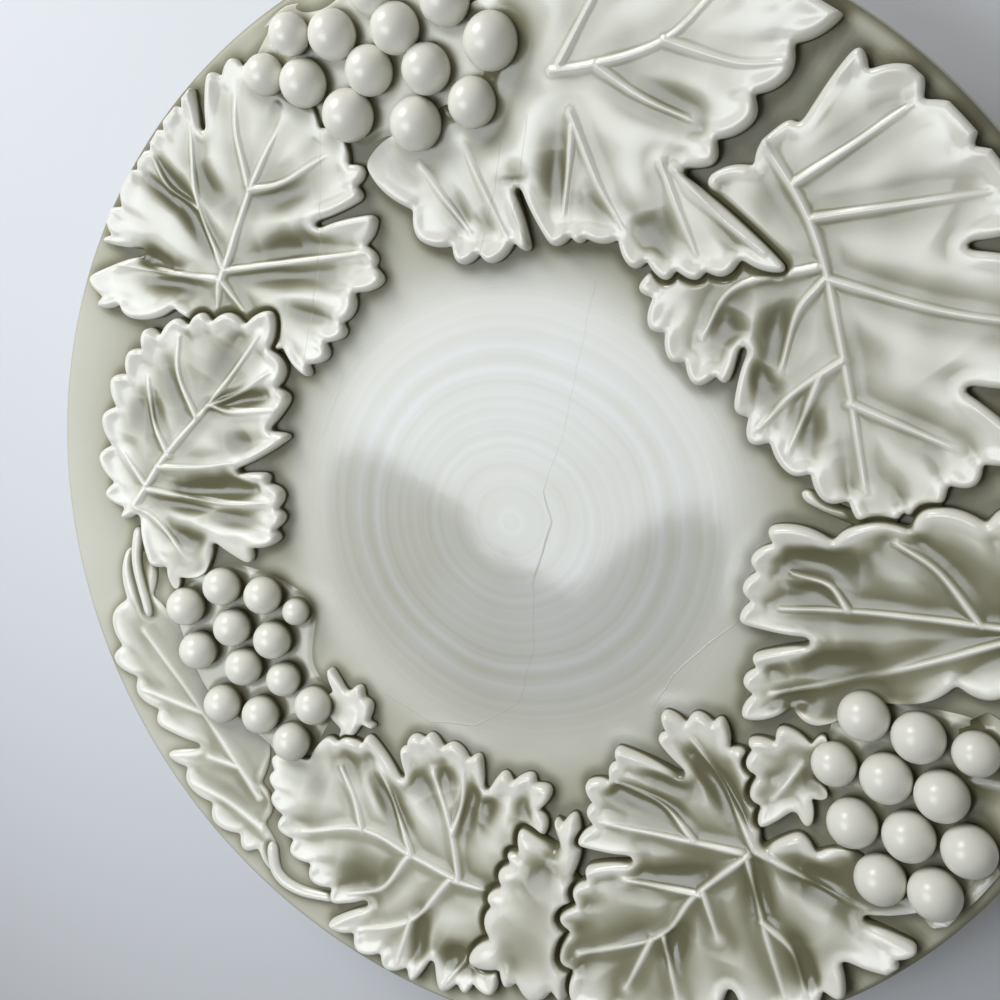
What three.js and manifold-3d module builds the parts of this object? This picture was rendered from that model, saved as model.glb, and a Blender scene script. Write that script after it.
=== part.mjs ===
import * as THREE from 'three';
import { mergeVertices } from 'three/addons/utils/BufferGeometryUtils.js';
import Module from 'manifold-3d';

// Dessert plate with a wreath of vine leaves and grapes in relief.
// Millimetres, +Z up, origin on the table under the middle of the plate.

// Plate body
const PLATE_DIAMETER = 210;
const LIP_HEIGHT = 23;
const LIP_ROUND = 1.7;
const FLOOR_DIAMETER = 88;
const FLOOR_HEIGHT = 8.3;
const BODY_WALL = 4.6;
const RIM_CURVE = 1.25;
const FOOT_DIAMETER = 118;
const FOOT_WIDTH = 5;
const FOOT_FLARE = 1.6;

// Moulded sprigs, each luted to the rim over a thin bed of slip
const SLIP_GAP = 0.3;
const TRIM_GAP = 0.3;
const LEAF_THICKNESS = 2.2;
const EDGE_LEAF_THICKNESS = 1.1;
const VEIN_WIDTH = 1.7;
const VEIN_SINK = 0.35;
const CUT_WIDTH = 1.8;
const GRAPE_DIAMETER = 8.6;
const GRAPE_HEIGHT = 7;
const PAD_THICKNESS = 1;
const STALK_WIDTH = 3;

// Leaf teeth: depth as a share of their pitch, depth limit, lean and roundness
const TOOTH_DEPTH = 0.42;
const TOOTH_DEPTH_MAX = 3;
const TOOTH_LEAN = 0.28;
const TOOTH_BULGE = 0.24;
const CUT_BULGE = 0.06;

// The wreath's nearest tips stand this far out from the floor and in from the lip
const FLOOR_CLEARANCE = 2.1;
const LIP_CLEARANCE = 2.5;

// Facets
const TURNS = 40;
const RIM_STEPS = 5;
const TOOTH_STEPS = 2;
const GRAPE_SIDES = 8;
const GRAPE_RINGS = 3;
const TUBE_SIDES = 6;
const VEIN_STEP = 30;
const STALK_STEP = 6;
const MITRE_LIMIT = 0.12;
const WELD = 0.01;

const RIM_RADIUS = PLATE_DIAMETER / 2;
const FLOOR_RADIUS = FLOOR_DIAMETER / 2;
const FOOT_RADIUS = FOOT_DIAMETER / 2;
const SPRIG_RADIUS = RIM_RADIUS - LIP_ROUND;
const SPRIG_INNER = FLOOR_RADIUS - FOOT_WIDTH;
const SKY = LIP_HEIGHT + GRAPE_DIAMETER * 2;

// A leaf's tips run anticlockwise; [x, y] is a tip, and [x, y, cutX, cutY] a tip
// followed by a deep cut between two lobes, instead of a plain notch.
// Veins start at the leaf's hub and fork where a later one starts on an earlier one.
const leaves = {
  leaf_upper_left: {
    hub: [-56, 53],
    tips: [
      [-41.5, 31.5], [-36.5, 35.5], [-31.5, 40], [-29, 44.3], [-21.3, 49.5], [-21.8, 53.6],
      [-20.3, 61.5, -33, 61.2], [-22, 65.2], [-20.3, 70], [-24, 77], [-30, 85], [-36, 91],
      [-41.5, 92], [-47, 90.3, -51.8, 81], [-52, 88.8], [-57.5, 85.8], [-62.5, 82], [-66, 78.5],
      [-70, 75.5], [-77, 68.5], [-80, 63, -72, 60], [-85, 56], [-85, 50], [-79, 47.3],
      [-64, 45], [-50, 38],
    ],
    veins: [
      [[-56, 53], [-45, 69], [-34, 81]],
      [[-45, 69], [-38, 69.5], [-28, 73]],
      [[-55, 55], [-57, 68], [-54, 82]],
      [[-55, 54.5], [-24, 55]],
      [[-57, 53], [-66, 55], [-78, 58]],
      [[-45, 70], [-44.5, 80], [-42, 88]],
      [[-57.3, 67], [-62.5, 72], [-64, 79]],
    ],
  },
  leaf_left: {
    hub: [-87, 5],
    tips: [
      [-62, -8.6], [-54, -3.2], [-52.3, 1.8], [-52, 7], [-54.6, 11.2, -61.3, 12.3],
      [-48.3, 19.3, -52, 21], [-46.8, 27.6], [-46.4, 34.8], [-46.2, 45.6], [-55.5, 46],
      [-61.5, 46.7], [-67.5, 46], [-75, 44.6], [-79.8, 40.2], [-85, 35], [-89, 27],
      [-92, 18], [-92.5, 9], [-90, 3, -86.5, 3.5], [-84.5, -8], [-80, -14.3],
      [-73, -10.5, -69.5, -4],
    ],
    veins: [
      [[-86, 6], [-77, 16.5], [-64, 28], [-50, 41]],
      [[-68, 25], [-70, 34], [-68, 42]],
      [[-76, 17], [-78, 25], [-77, 34]],
      [[-65, 27], [-58, 29], [-50, 33]],
      [[-64.5, 27.3], [-59.5, 25.4], [-50, 25.2]],
      [[-79, 14.5], [-70, 13.8], [-62, 14.2]],
      [[-82, 9.5], [-66, 5.5], [-56, 5]],
      [[-86, 6], [-81, 2], [-76, -7]],
    ],
  },
  leaf_bottom_left: {
    hub: [-16, -76],
    tips: [
      [5.8, -55.3], [1.8, -52.7], [-4.8, -52.8, -9, -57], [-10.4, -49.9], [-16.6, -48],
      [-22, -46.2], [-26.3, -47], [-28.9, -49.8, -28.6, -56.2], [-36.5, -47.4], [-42.5, -48.4],
      [-46.3, -48.2, -51, -53], [-59.8, -52.9], [-60.6, -57.3], [-60.2, -62], [-58.7, -68.3],
      [-55.6, -74], [-50.6, -79.4], [-45.4, -84.4, -37, -84], [-46.2, -89], [-39, -93.8],
      [-32, -96.8], [-25.5, -98.6, -21, -94], [-19, -99.5], [-13, -99], [-6.6, -98],
      [-3, -90], [0, -75], [5, -62],
    ],
    veins: [
      [[-16, -76], [-26, -72.5], [-38, -68], [-52, -69.5]],
      [[-26, -72.5], [-30, -63], [-34, -54]],
      [[-38, -68], [-40, -61], [-43, -55]],
      [[-15, -76], [-17, -66], [-21, -55]],
      [[-16.6, -67], [-14.3, -60], [-14, -54]],
      [[-27, -73], [-33, -80], [-41, -82]],
      [[-17, -76.5], [-26, -86], [-38, -89.5]],
      [[-26, -86], [-29, -95]],
    ],
  },
  leaflet_bottom: {
    hub: [4, -72],
    tips: [
      [11.3, -59.2], [6.6, -60.8, 7.2, -66.2], [-0.8, -63.6], [-4, -69], [-5.9, -73.6],
      [-8.4, -78.8], [-8.8, -83.2], [-12.3, -92], [-3.5, -95.8], [2.5, -97.2], [9, -96],
      [14, -86], [14, -76],
    ],
    veins: [],
  },
  leaf_bottom_right: {
    hub: [47.5, -59.3],
    tips: [
      [76, -62], [66, -56], [55.5, -54.6, 49, -58], [46, -41.5], [41.3, -35.9], [36.3, -35.8],
      [29.7, -36.4], [28.6, -41.6, 33.6, -47.8], [20, -44.8], [18.7, -48.6], [13.3, -53],
      [13.5, -58.3], [11.6, -65, 23, -66.2], [13.4, -69.4], [10.7, -74], [7.8, -79.8],
      [8.2, -88.3], [10.8, -95], [19, -99], [29, -97], [38, -94, 43, -85.5], [48, -90.5],
      [56, -86.5], [63, -81, 63, -75], [72, -74], [75, -69, 66.5, -66.5],
    ],
    veins: [
      [[47.5, -59], [41, -47.5], [35, -40]],
      [[45, -60], [17, -60]],
      [[36, -59.8], [30, -54.5], [20, -51.5]],
      [[46, -60.5], [36, -70], [29, -79], [12.5, -86]],
      [[37, -69.5], [22, -70]],
      [[30, -79], [33, -90]],
      [[27.5, -80], [22.5, -90]],
      [[46, -61], [49, -72], [53, -84]],
      [[48.8, -71.5], [54, -75], [56.5, -82]],
      [[48, -59.3], [67, -65]],
    ],
  },
  leaf_right: {
    hub: [92, -13],
    tips: [
      [101, -6], [98, 2], [88, 6], [76, 5], [66, 1.5], [50.8, 0.3], [47.5, -5.6],
      [45.8, -11.2], [45.1, -17.3, 57.2, -19.6], [47.2, -23.6], [45.4, -28.6], [45.1, -35.2],
      [58, -34.5], [72, -28], [85, -25], [97, -26], [100.5, -16],
    ],
    veins: [
      [[92, -13], [68, -13], [53, -14]],
      [[64, -13], [61, -9], [55, -7.5]],
      [[92, -13], [68, -24], [51, -30]],
      [[84, -13], [78, -5], [72, -1]],
    ],
  },
  leaflet_right: {
    hub: [60, -42],
    tips: [
      [60, -36], [52, -36], [46, -39.5], [45.7, -44], [46.5, -50], [48.2, -55, 54.7, -51.2],
      [57, -53.2], [60.5, -47],
    ],
    veins: [[[56, -42], [51, -49]]],
  },
  leaf_upper_right: {
    hub: [51.5, 66],
    tips: [
      [67.5, 74.3, 58.5, 66], [53, 64], [44, 60], [38, 52], [29.8, 43.3], [31.3, 36.2],
      [34.8, 30.3], [39, 25.8], [44.4, 25.8, 47.8, 31.8], [45.7, 21], [48, 15.3],
      [55.2, 9.8], [60.7, 5.3], [68.4, 0], [76, 3], [83, 9], [91, 14, 82, 24], [97.5, 24],
      [98, 32], [95, 40, 82, 45], [91.5, 47], [88, 54.5], [82.5, 62], [75.5, 69.5],
    ],
    veins: [
      [[52, 66], [60, 50], [64, 30], [67, 8]],
      [[57.5, 57], [66, 61], [76, 66]],
      [[60, 51.5], [84, 52]],
      [[61.5, 42], [57, 37], [54, 28]],
      [[60.5, 44], [47, 42], [41, 34.5]],
      [[62, 42], [78, 36], [91, 33]],
      [[64, 29], [56, 24], [50, 18]],
      [[65, 22], [80, 15]],
    ],
  },
  leaf_top: {
    hub: [21, 80],
    tips: [
      [65.8, 79.3], [58, 86.5], [49, 91], [39, 95.5], [28, 98.5], [16, 99], [6, 92], [-6, 80],
      [-19.5, 70.5], [-11.6, 56.2], [-4.3, 50.9], [1.8, 50.5], [10, 51.8, 9.6, 62.5],
      [14.8, 52.2], [20, 52], [24, 51.9], [29.5, 46.8], [35.4, 44.2], [41, 43.9], [45.4, 44.1],
      [55.8, 44, 40.3, 61.3], [45.2, 61.8], [52.1, 67.5], [57.6, 72.6],
    ],
    veins: [
      [[19.5, 79.7], [27, 79.3], [39, 80.5], [49, 86]],
      [[39, 80.5], [50, 75.3], [57, 74]],
      [[27, 79.3], [34, 73.5], [41.5, 69]],
      [[21, 80.5], [29, 89], [36, 93]],
      [[21.7, 73], [25, 61.5], [28.3, 54]],
      [[21.8, 71], [18, 58]],
      [[0.4, 72], [6, 55.5]],
      [[-8.5, 69], [-1, 56.5]],
      [[38.5, 62], [46, 53], [52.5, 47]],
    ],
  },
  leaflet_left: {
    hub: [-40, -44],
    tips: [[-34.5, -46], [-35.6, -40], [-38.2, -36.2, -41, -38], [-45.6, -32.4], [-47, -40], [-44, -50]],
    veins: [],
  },
  leaf_edge_left: {
    hub: [-62, -70],
    thickness: EDGE_LEAF_THICKNESS,
    tips: [
      [-62, -48], [-74, -36], [-84, -20], [-86, -4], [-91, -4], [-97, -20], [-98, -30],
      [-93, -38.5], [-88.5, -46, -78.5, -51.5], [-86.5, -53], [-82, -59.5], [-75.5, -68.5],
      [-68, -75], [-59.5, -80], [-60.5, -64],
    ],
    veins: [[[-63, -70], [-72, -64], [-80, -60]], [[-63, -58], [-74, -54]], [[-74, -45], [-91, -38]]],
  },
  leaf_edge_right: {
    hub: [76, -40],
    thickness: EDGE_LEAF_THICKNESS,
    tips: [
      [80, -30], [98, -30], [96, -39], [92, -47], [88, -54], [83, -61], [77, -66.5], [70, -58],
      [71, -45],
    ],
    veins: [[[80, -40], [92, -39]], [[79, -48], [86, -53]]],
  },
};

// A pad is the outline of a bunch; each grape is [x, y] or [x, y, its own diameter].
const bunches = {
  grapes_left: {
    pad: [
      [-51, -14.5], [-60, -9.5], [-69.5, -7.5], [-79, -11.5], [-83.5, -19], [-81.5, -30],
      [-76.5, -41], [-69, -47], [-60, -54], [-52, -55.5], [-46.5, -48], [-42.8, -40.5],
      [-48.5, -32], [-47, -20],
    ],
    grapes: [
      [-68.5, -13.5], [-59, -15.8], [-52, -19.8, 6.2], [-77.5, -17.8], [-67, -23], [-57.7, -26],
      [-75.5, -28], [-65, -32], [-55.8, -35, 7.8], [-70.5, -40.5], [-61.5, -43], [-48.8, -40.8],
      [-54.3, -49],
    ],
  },
  grapes_top: {
    pad: [
      [15.8, 86], [11, 93.5], [3.5, 99], [-11, 102], [-22, 98.5], [-30, 98.5], [-38, 93.5],
      [-41, 87], [-35, 81], [-27, 76.5], [-20.5, 72.5], [-14, 73.5], [-7.5, 69.5], [-1, 72],
      [6, 71.8], [12, 79],
    ],
    grapes: [
      [-35.5, 88, 7.4], [-28.5, 93.5, 7.4], [-28, 85.5], [-20, 92], [-20.5, 79, 9.4],
      [-14.5, 85.5], [-11, 97, 7.4], [-7.8, 91], [-3.5, 84], [-7.5, 75.7, 9.4], [2.5, 93.5],
      [4, 77.5], [9.5, 86, 9.4],
    ],
  },
  grapes_right: {
    pad: [
      [89, -33], [84, -28], [75, -27], [66.5, -25], [60.5, -30], [59, -35.5], [55.8, -41],
      [59, -47], [58.8, -53], [63, -60], [69, -64.5], [78, -64.5], [84, -58], [88, -50],
      [86, -42],
    ],
    grapes: [
      [66.5, -31], [61.5, -40.5, 7.8], [64.5, -50], [69, -58.5], [70, -41], [75, -33],
      [73.5, -50], [78.5, -42], [83.5, -34, 7.4], [77.5, -58.5], [82.5, -50],
    ],
  },
};

const stalks = {
  stalk_left: [[-87.5, 1], [-89.5, -8], [-88, -21]],
  stalk_lower_left: [[-61, -72.5], [-59.5, -79.5], [-54, -83], [-47.5, -84]],
  stalk_right: [[56.5, 6.8], [62, 3.8], [71, 0.5]],
};

// From the top of the pile down: each sprig is trimmed round those before it
const pile = [
  'grapes_top', 'grapes_left', 'grapes_right', 'leaf_left', 'leaf_top', 'leaf_right',
  'leaflet_right', 'leaf_bottom_right', 'leaflet_bottom', 'leaf_bottom_left', 'leaf_upper_right',
  'leaf_upper_left', 'stalk_right', 'stalk_left', 'stalk_lower_left', 'leaflet_left',
  'leaf_edge_right', 'leaf_edge_left',
];

const wasm = await Module();
wasm.setup();

function toSolid(geometry) {
  const bare = geometry.clone();
  bare.deleteAttribute('normal');
  bare.deleteAttribute('uv');
  const merged = mergeVertices(bare);
  const index = merged.index.array;
  const triangles = [];
  for (let i = 0; i < index.length; i += 3) {
    const [a, b, c] = [index[i], index[i + 1], index[i + 2]];
    if (a !== b && b !== c && c !== a) triangles.push(a, b, c);
  }
  const vertProperties = new Float32Array(merged.attributes.position.array);
  const triVerts = new Uint32Array(triangles);
  return new wasm.Manifold(new wasm.Mesh({ numProp: 3, vertProperties, triVerts, tolerance: WELD }));
}

function toGeometry(body) {
  const mesh = body.getMesh();
  const geometry = new THREE.BufferGeometry();
  geometry.setAttribute('position', new THREE.BufferAttribute(mesh.vertProperties, 3));
  geometry.setIndex(new THREE.BufferAttribute(mesh.triVerts, 1));
  geometry.computeVertexNormals();
  return geometry;
}

// Scraps that a cut leaves behind are thrown away
function largestPiece(body) {
  return body.decompose().reduce((best, piece) => (piece.volume() > best.volume() ? piece : best));
}

// Upper face of the plate: flat floor, then a rim that steepens towards the lip
function faceHeight(radius) {
  const along = THREE.MathUtils.clamp((radius - FLOOR_RADIUS) / (RIM_RADIUS - FLOOR_RADIUS), 0, 1);
  return FLOOR_HEIGHT + (LIP_HEIGHT - FLOOR_HEIGHT) * along ** RIM_CURVE;
}

// Radii at which the rim is faceted, shared by the body and by what lies on it
function rimRadii(outer) {
  const radii = [];
  for (let i = 0; i <= RIM_STEPS; i += 1) {
    radii.push(FLOOR_RADIUS + ((outer - FLOOR_RADIUS) * i) / RIM_STEPS);
  }
  return radii;
}

function revolve(profile) {
  const points = profile.map(([radius, height]) => new THREE.Vector2(radius, height));
  return new THREE.LatheGeometry(points, TURNS).rotateX(Math.PI / 2);
}

function bodyGeometry() {
  const recess = FLOOR_HEIGHT - BODY_WALL;
  const underside = rimRadii(SPRIG_RADIUS).filter((radius) => radius > FOOT_RADIUS + FOOT_FLARE);
  const lipMiddle = faceHeight(SPRIG_RADIUS) - BODY_WALL / 2;
  const profile = [
    [0, recess],
    [FOOT_RADIUS - FOOT_WIDTH - FOOT_FLARE, recess],
    [FOOT_RADIUS - FOOT_WIDTH, 0],
    [FOOT_RADIUS, 0],
    [FOOT_RADIUS + FOOT_FLARE, faceHeight(FOOT_RADIUS + FOOT_FLARE) - BODY_WALL],
    ...underside.map((radius) => [radius, faceHeight(radius) - BODY_WALL]),
  ];
  for (const turn of [-0.5, 0, 0.5]) {
    const angle = turn * (Math.PI / 2);
    profile.push([
      SPRIG_RADIUS + LIP_ROUND * Math.cos(angle),
      lipMiddle + (BODY_WALL / 2) * Math.sin(angle),
    ]);
  }
  for (const radius of rimRadii(SPRIG_RADIUS).reverse()) profile.push([radius, faceHeight(radius)]);
  profile.push([0, FLOOR_HEIGHT]);
  return revolve(profile);
}

// The space that a layer of the given thickness fills on the rim, above its slip
function rimLayer(thickness) {
  const radii = [SPRIG_INNER, ...rimRadii(SPRIG_RADIUS)];
  const under = radii.map((radius) => [radius, faceHeight(radius) + SLIP_GAP]);
  const over = under.map(([radius, height]) => [radius, height + thickness]).reverse();
  return toSolid(revolve([...under, ...over, under[0]]));
}

const aboveRim = rimLayer(SKY - LIP_HEIGHT);

const drawnRadii = Object.values(leaves).flatMap(({ tips }) => tips.map(([x, y]) => Math.hypot(x, y)));
const drawnInner = Math.min(...drawnRadii);
const drawnOuter = Math.max(...drawnRadii);
const wreathInner = FLOOR_RADIUS + FLOOR_CLEARANCE;
const wreathOuter = RIM_RADIUS - LIP_CLEARANCE;

// A point of the drawing, moved out or in so that the wreath fills the rim
function onRim([x, y]) {
  const drawn = Math.hypot(x, y);
  const share = (drawn - drawnInner) / (drawnOuter - drawnInner);
  const radius = wreathInner + share * (wreathOuter - wreathInner);
  return new THREE.Vector2(x, y).multiplyScalar(radius / drawn);
}

function above(point, height) {
  return new THREE.Vector3(point.x, point.y, faceHeight(point.length()) + SLIP_GAP + height);
}

// Turns a piece to the slope of the rim and sets it down at a spot
function layOnRim(geometry, spot, height) {
  const reach = spot.length();
  const rise = faceHeight(reach + SLIP_GAP) - faceHeight(reach - SLIP_GAP);
  const slope = Math.atan2(rise, SLIP_GAP * 2);
  const seat = above(spot, height);
  geometry.rotateY(-slope).rotateZ(spot.angle());
  return geometry.translate(seat.x, seat.y, seat.z);
}

// The notch between two tips leans to the one nearer the hub, so teeth point to the lobe's end
function notchBetween(tip, next, hub) {
  const side = next.clone().sub(tip);
  const pitch = side.length();
  const lean = tip.distanceTo(hub) < next.distanceTo(hub) ? TOOTH_LEAN : 1 - TOOTH_LEAN;
  const depth = Math.min(TOOTH_DEPTH * pitch, TOOTH_DEPTH_MAX);
  const inward = new THREE.Vector2(-side.y, side.x).setLength(depth);
  return tip.clone().addScaledVector(side, lean).add(inward);
}

// One side of a tooth or cut, bulging away from the leaf
function toothSide(shape, from, to, bulge) {
  const side = to.clone().sub(from);
  const outward = new THREE.Vector2(side.y, -side.x).multiplyScalar(bulge);
  const control = from.clone().addScaledVector(side, 0.5).add(outward);
  shape.quadraticCurveTo(control.x, control.y, to.x, to.y);
}

// What lies between two tips: a notch as one point, or the two sides of a cut's round end
function gapBetween(entry, tip, next, hub) {
  if (entry.length === 2) {
    const notch = notchBetween(tip, next, hub);
    return { first: notch, second: notch, bulge: TOOTH_BULGE };
  }
  const end = onRim(entry.slice(2));
  const inward = end.clone().sub(tip.clone().add(next).multiplyScalar(0.5)).setLength(CUT_WIDTH);
  const across = new THREE.Vector2(inward.y, -inward.x).multiplyScalar(0.5);
  if (across.dot(tip.clone().sub(next)) < 0) across.negate();
  const first = end.clone().add(across);
  const second = end.clone().sub(across);
  return { first, second, round: end.add(inward), bulge: CUT_BULGE };
}

function leafOutline({ hub, tips }) {
  const middle = onRim(hub);
  const points = tips.map(onRim);
  const gaps = tips.map((entry, i) => gapBetween(entry, points[i], points[(i + 1) % points.length], middle));
  const shape = new THREE.Shape();
  let before = gaps[gaps.length - 1];
  shape.moveTo(before.second.x, before.second.y);
  points.forEach((tip, i) => {
    const after = gaps[i];
    toothSide(shape, before.second, tip, before.bulge);
    toothSide(shape, tip, after.first, after.bulge);
    if (after.round) shape.quadraticCurveTo(after.round.x, after.round.y, after.second.x, after.second.y);
    before = after;
  });
  return shape;
}

// The same outline, larger by a margin all round
function grown(shape, margin) {
  const { shape: ring } = shape.extractPoints(TOOTH_STEPS);
  const count = ring.length - 1;
  const facing = (i) => {
    const side = ring[(i + 1) % count].clone().sub(ring[i % count]).normalize();
    return new THREE.Vector2(side.y, -side.x);
  };
  const larger = [];
  for (let i = 0; i < count; i += 1) {
    const before = facing(i + count - 1);
    const after = facing(i);
    const reach = margin / Math.max(1 + before.dot(after), MITRE_LIMIT);
    larger.push(ring[i].clone().addScaledVector(before.add(after), reach));
  }
  return new THREE.Shape(larger);
}

function upright(shape) {
  const options = { depth: SKY, bevelEnabled: false, curveSegments: TOOTH_STEPS };
  return toSolid(new THREE.ExtrudeGeometry(shape, options));
}

// A round ridge along points of the drawing, at a height above the slip
function ridge(route, width, height, step) {
  const path = new THREE.CatmullRomCurve3(route.map((point) => above(onRim(point), height)));
  const steps = Math.max(2, Math.round(path.getLength() / step));
  const section = new THREE.Shape();
  for (let i = 0; i < TUBE_SIDES; i += 1) {
    const angle = (i / TUBE_SIDES) * Math.PI * 2;
    const corner = new THREE.Vector2(Math.cos(angle), Math.sin(angle)).multiplyScalar(width / 2);
    if (i === 0) section.moveTo(corner.x, corner.y);
    else section.lineTo(corner.x, corner.y);
  }
  return toSolid(new THREE.ExtrudeGeometry(section, { steps, extrudePath: path, bevelEnabled: false }));
}

function makeLeaf(leaf) {
  const { veins, thickness = LEAF_THICKNESS } = leaf;
  const outline = upright(leafOutline(leaf));
  let body = rimLayer(thickness).intersect(outline);
  for (const vein of veins) {
    body = body.add(ridge(vein, VEIN_WIDTH, thickness - VEIN_SINK, VEIN_STEP).intersect(outline));
  }
  return { body, trims: [upright(grown(leafOutline(leaf), TRIM_GAP))] };
}

// A grape has no undercut, so that it leaves its mould, and stands along the slope of the rim
function grapeGeometry(spot, diameter) {
  const radius = diameter / 2;
  const middle = diameter * (GRAPE_HEIGHT / GRAPE_DIAMETER) - radius;
  const profile = [new THREE.Vector2(0, 0), new THREE.Vector2(radius, 0)];
  for (let i = 0; i <= GRAPE_RINGS; i += 1) {
    const angle = ((Math.PI / 2) * i) / GRAPE_RINGS;
    profile.push(new THREE.Vector2(radius * Math.cos(angle), middle + radius * Math.sin(angle)));
  }
  profile[profile.length - 1].x = 0;
  const grape = new THREE.LatheGeometry(profile, GRAPE_SIDES).rotateX(Math.PI / 2);
  return layOnRim(grape, spot, PAD_THICKNESS / 2);
}

function padOutline(pad) {
  const [first, ...rest] = pad.map(onRim);
  return new THREE.Shape().moveTo(first.x, first.y).splineThru([...rest, first]);
}

function makeBunch({ pad, grapes }) {
  const outline = padOutline(pad);
  let body = rimLayer(PAD_THICKNESS).intersect(upright(outline));
  for (const [x, y, diameter = GRAPE_DIAMETER] of grapes) {
    body = body.add(toSolid(grapeGeometry(onRim([x, y]), diameter)));
  }
  return { body, trims: [upright(grown(outline, TRIM_GAP))] };
}

function makeStalk(route) {
  const body = ridge(route, STALK_WIDTH, STALK_WIDTH / 6, STALK_STEP).intersect(aboveRim);
  const trims = [];
  for (const height of [0, STALK_WIDTH / 2, STALK_WIDTH]) {
    trims.push(ridge(route, STALK_WIDTH + TRIM_GAP * 4, height, STALK_STEP));
  }
  return { body, trims };
}

function makeSprig(name) {
  if (leaves[name]) return makeLeaf(leaves[name]);
  if (bunches[name]) return makeBunch(bunches[name]);
  return makeStalk(stalks[name]);
}

function glaze(color) {
  return new THREE.MeshStandardMaterial({ color, roughness: 0.15, metalness: 0 });
}

const plate = new THREE.Group();

const body = new THREE.Mesh(bodyGeometry(), glaze(0xdfe2dd));
body.name = 'plate_body';
plate.add(body);

const laid = [];
for (const name of pile) {
  const sprig = makeSprig(name);
  let shape = sprig.body;
  for (const trim of laid) shape = shape.subtract(trim);
  laid.push(...sprig.trims);
  const mesh = new THREE.Mesh(toGeometry(largestPiece(shape)), glaze(bunches[name] ? 0xe9e8e0 : 0xd6d7c9));
  mesh.name = name;
  plate.add(mesh);
}

export default plate;
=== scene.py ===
import math

import bpy
import numpy as np
from mathutils import Matrix, Vector, geometry


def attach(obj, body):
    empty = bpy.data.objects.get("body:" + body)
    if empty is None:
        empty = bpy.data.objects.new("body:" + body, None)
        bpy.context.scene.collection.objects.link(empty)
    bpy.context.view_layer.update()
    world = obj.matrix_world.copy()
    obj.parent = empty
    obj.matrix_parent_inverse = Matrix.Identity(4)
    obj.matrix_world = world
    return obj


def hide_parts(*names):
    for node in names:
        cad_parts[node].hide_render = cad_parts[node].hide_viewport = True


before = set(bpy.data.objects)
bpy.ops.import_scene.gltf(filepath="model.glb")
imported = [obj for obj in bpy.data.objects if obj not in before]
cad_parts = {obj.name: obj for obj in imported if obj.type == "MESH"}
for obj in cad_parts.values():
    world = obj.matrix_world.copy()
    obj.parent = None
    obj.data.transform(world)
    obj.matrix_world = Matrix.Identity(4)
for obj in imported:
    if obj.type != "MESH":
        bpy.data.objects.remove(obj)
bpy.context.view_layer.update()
scene = bpy.context.scene
mm = 0.001  # the numbers below are millimetres

# Plate shape, as in the CAD
plate = {
    "rimRadius": 105.0,
    "lipHeight": 23.0,
    "lipRound": 1.7,
    "floorRadius": 44.0,
    "floorHeight": 8.3,
    "wall": 4.6,
    "rimCurve": 1.25,
    "footRadius": 59.0,
    "footWidth": 5.0,
    "footFlare": 1.6,
    "turns": 600,
    "ease": 8.0,
    "slipWidth": 1.7,  # slip that welled up round the sprigs
    "slipMost": 0.6,
    "slipFade": 5.0,
    "floorStep": 2.0,
    "rimRows": 96,
    "lipRows": 12,
    "underRows": 14,
}


def smoothStep(low, high, value):
    share = np.clip((value - low) / (high - low), 0, 1)
    return share * share * (3 - 2 * share)


def cadHeight(radius):
    span = plate["rimRadius"] - plate["floorRadius"]
    along = np.clip((radius - plate["floorRadius"]) / span, 0, None)
    return plate["floorHeight"] + (plate["lipHeight"] - plate["floorHeight"]) * along ** plate["rimCurve"]


# The fired face: the CAD profile with its turn into the rim eased, as throwing leaves it
faceRadii = np.arange(0, 110.5, 0.5)
easeOffsets = np.linspace(-3, 3, 41)
easeShares = np.exp(-(easeOffsets**2) / 2)
easedRadii = np.abs(faceRadii[:, None] + plate["ease"] * easeOffsets)
faceHeights = (cadHeight(easedRadii) @ easeShares) / easeShares.sum()


def faceHeight(radius):
    return np.interp(radius, faceRadii, faceHeights)


# Plane curves
def quadCurve(start, control, end, count):
    t = np.linspace(0, 1, count, endpoint=False)[:, None]
    return (1 - t) ** 2 * start + 2 * (1 - t) * t * control + t * t * end


def smoothRoute(points, step=0.8):
    points = np.array(points, float)
    padded = np.vstack([2 * points[0] - points[1], points, 2 * points[-1] - points[-2]])
    route = []
    for a, b, c, d in zip(padded, padded[1:], padded[2:], padded[3:]):
        count = max(2, int(np.linalg.norm(c - b) / step))
        for t in np.linspace(0, 1, count, endpoint=False):
            linear = 2 * b + (c - a) * t
            square = (2 * a - 5 * b + 4 * c - d) * t**2
            cubic = (3 * b - a - 3 * c + d) * t**3
            route.append(0.5 * (linear + square + cubic))
    route.append(points[-1])
    return np.array(route)


def evenRing(points, step):
    closed = np.vstack([points, points[:1]])
    reach = np.concatenate([[0], np.cumsum(np.linalg.norm(np.diff(closed, axis=0), axis=1))])
    at = np.linspace(0, reach[-1], int(reach[-1] / step), endpoint=False)
    return np.column_stack([np.interp(at, reach, closed[:, 0]), np.interp(at, reach, closed[:, 1])])


def soften(ring, passes):
    for _ in range(passes):
        ring = 0.5 * ring + 0.25 * (np.roll(ring, 1, 0) + np.roll(ring, -1, 0))
    return ring


def routeDistance(points, route):  # distance to a polyline, and how far along it, 0 to 1
    best = np.full(len(points), 1e9)
    along = np.zeros(len(points))
    lengths = np.linalg.norm(np.diff(route, axis=0), axis=1)
    start = 0.0
    for a, b, length in zip(route[:-1], route[1:], lengths):
        side = b - a
        share = np.clip(((points - a) @ side) / max(length**2, 1e-9), 0, 1)
        gap = np.hypot(points[:, 0] - a[0] - share * side[0], points[:, 1] - a[1] - share * side[1])
        nearer = gap < best
        best[nearer] = gap[nearer]
        along[nearer] = (start + share[nearer] * length) / lengths.sum()
        start += length
    return best, along


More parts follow.
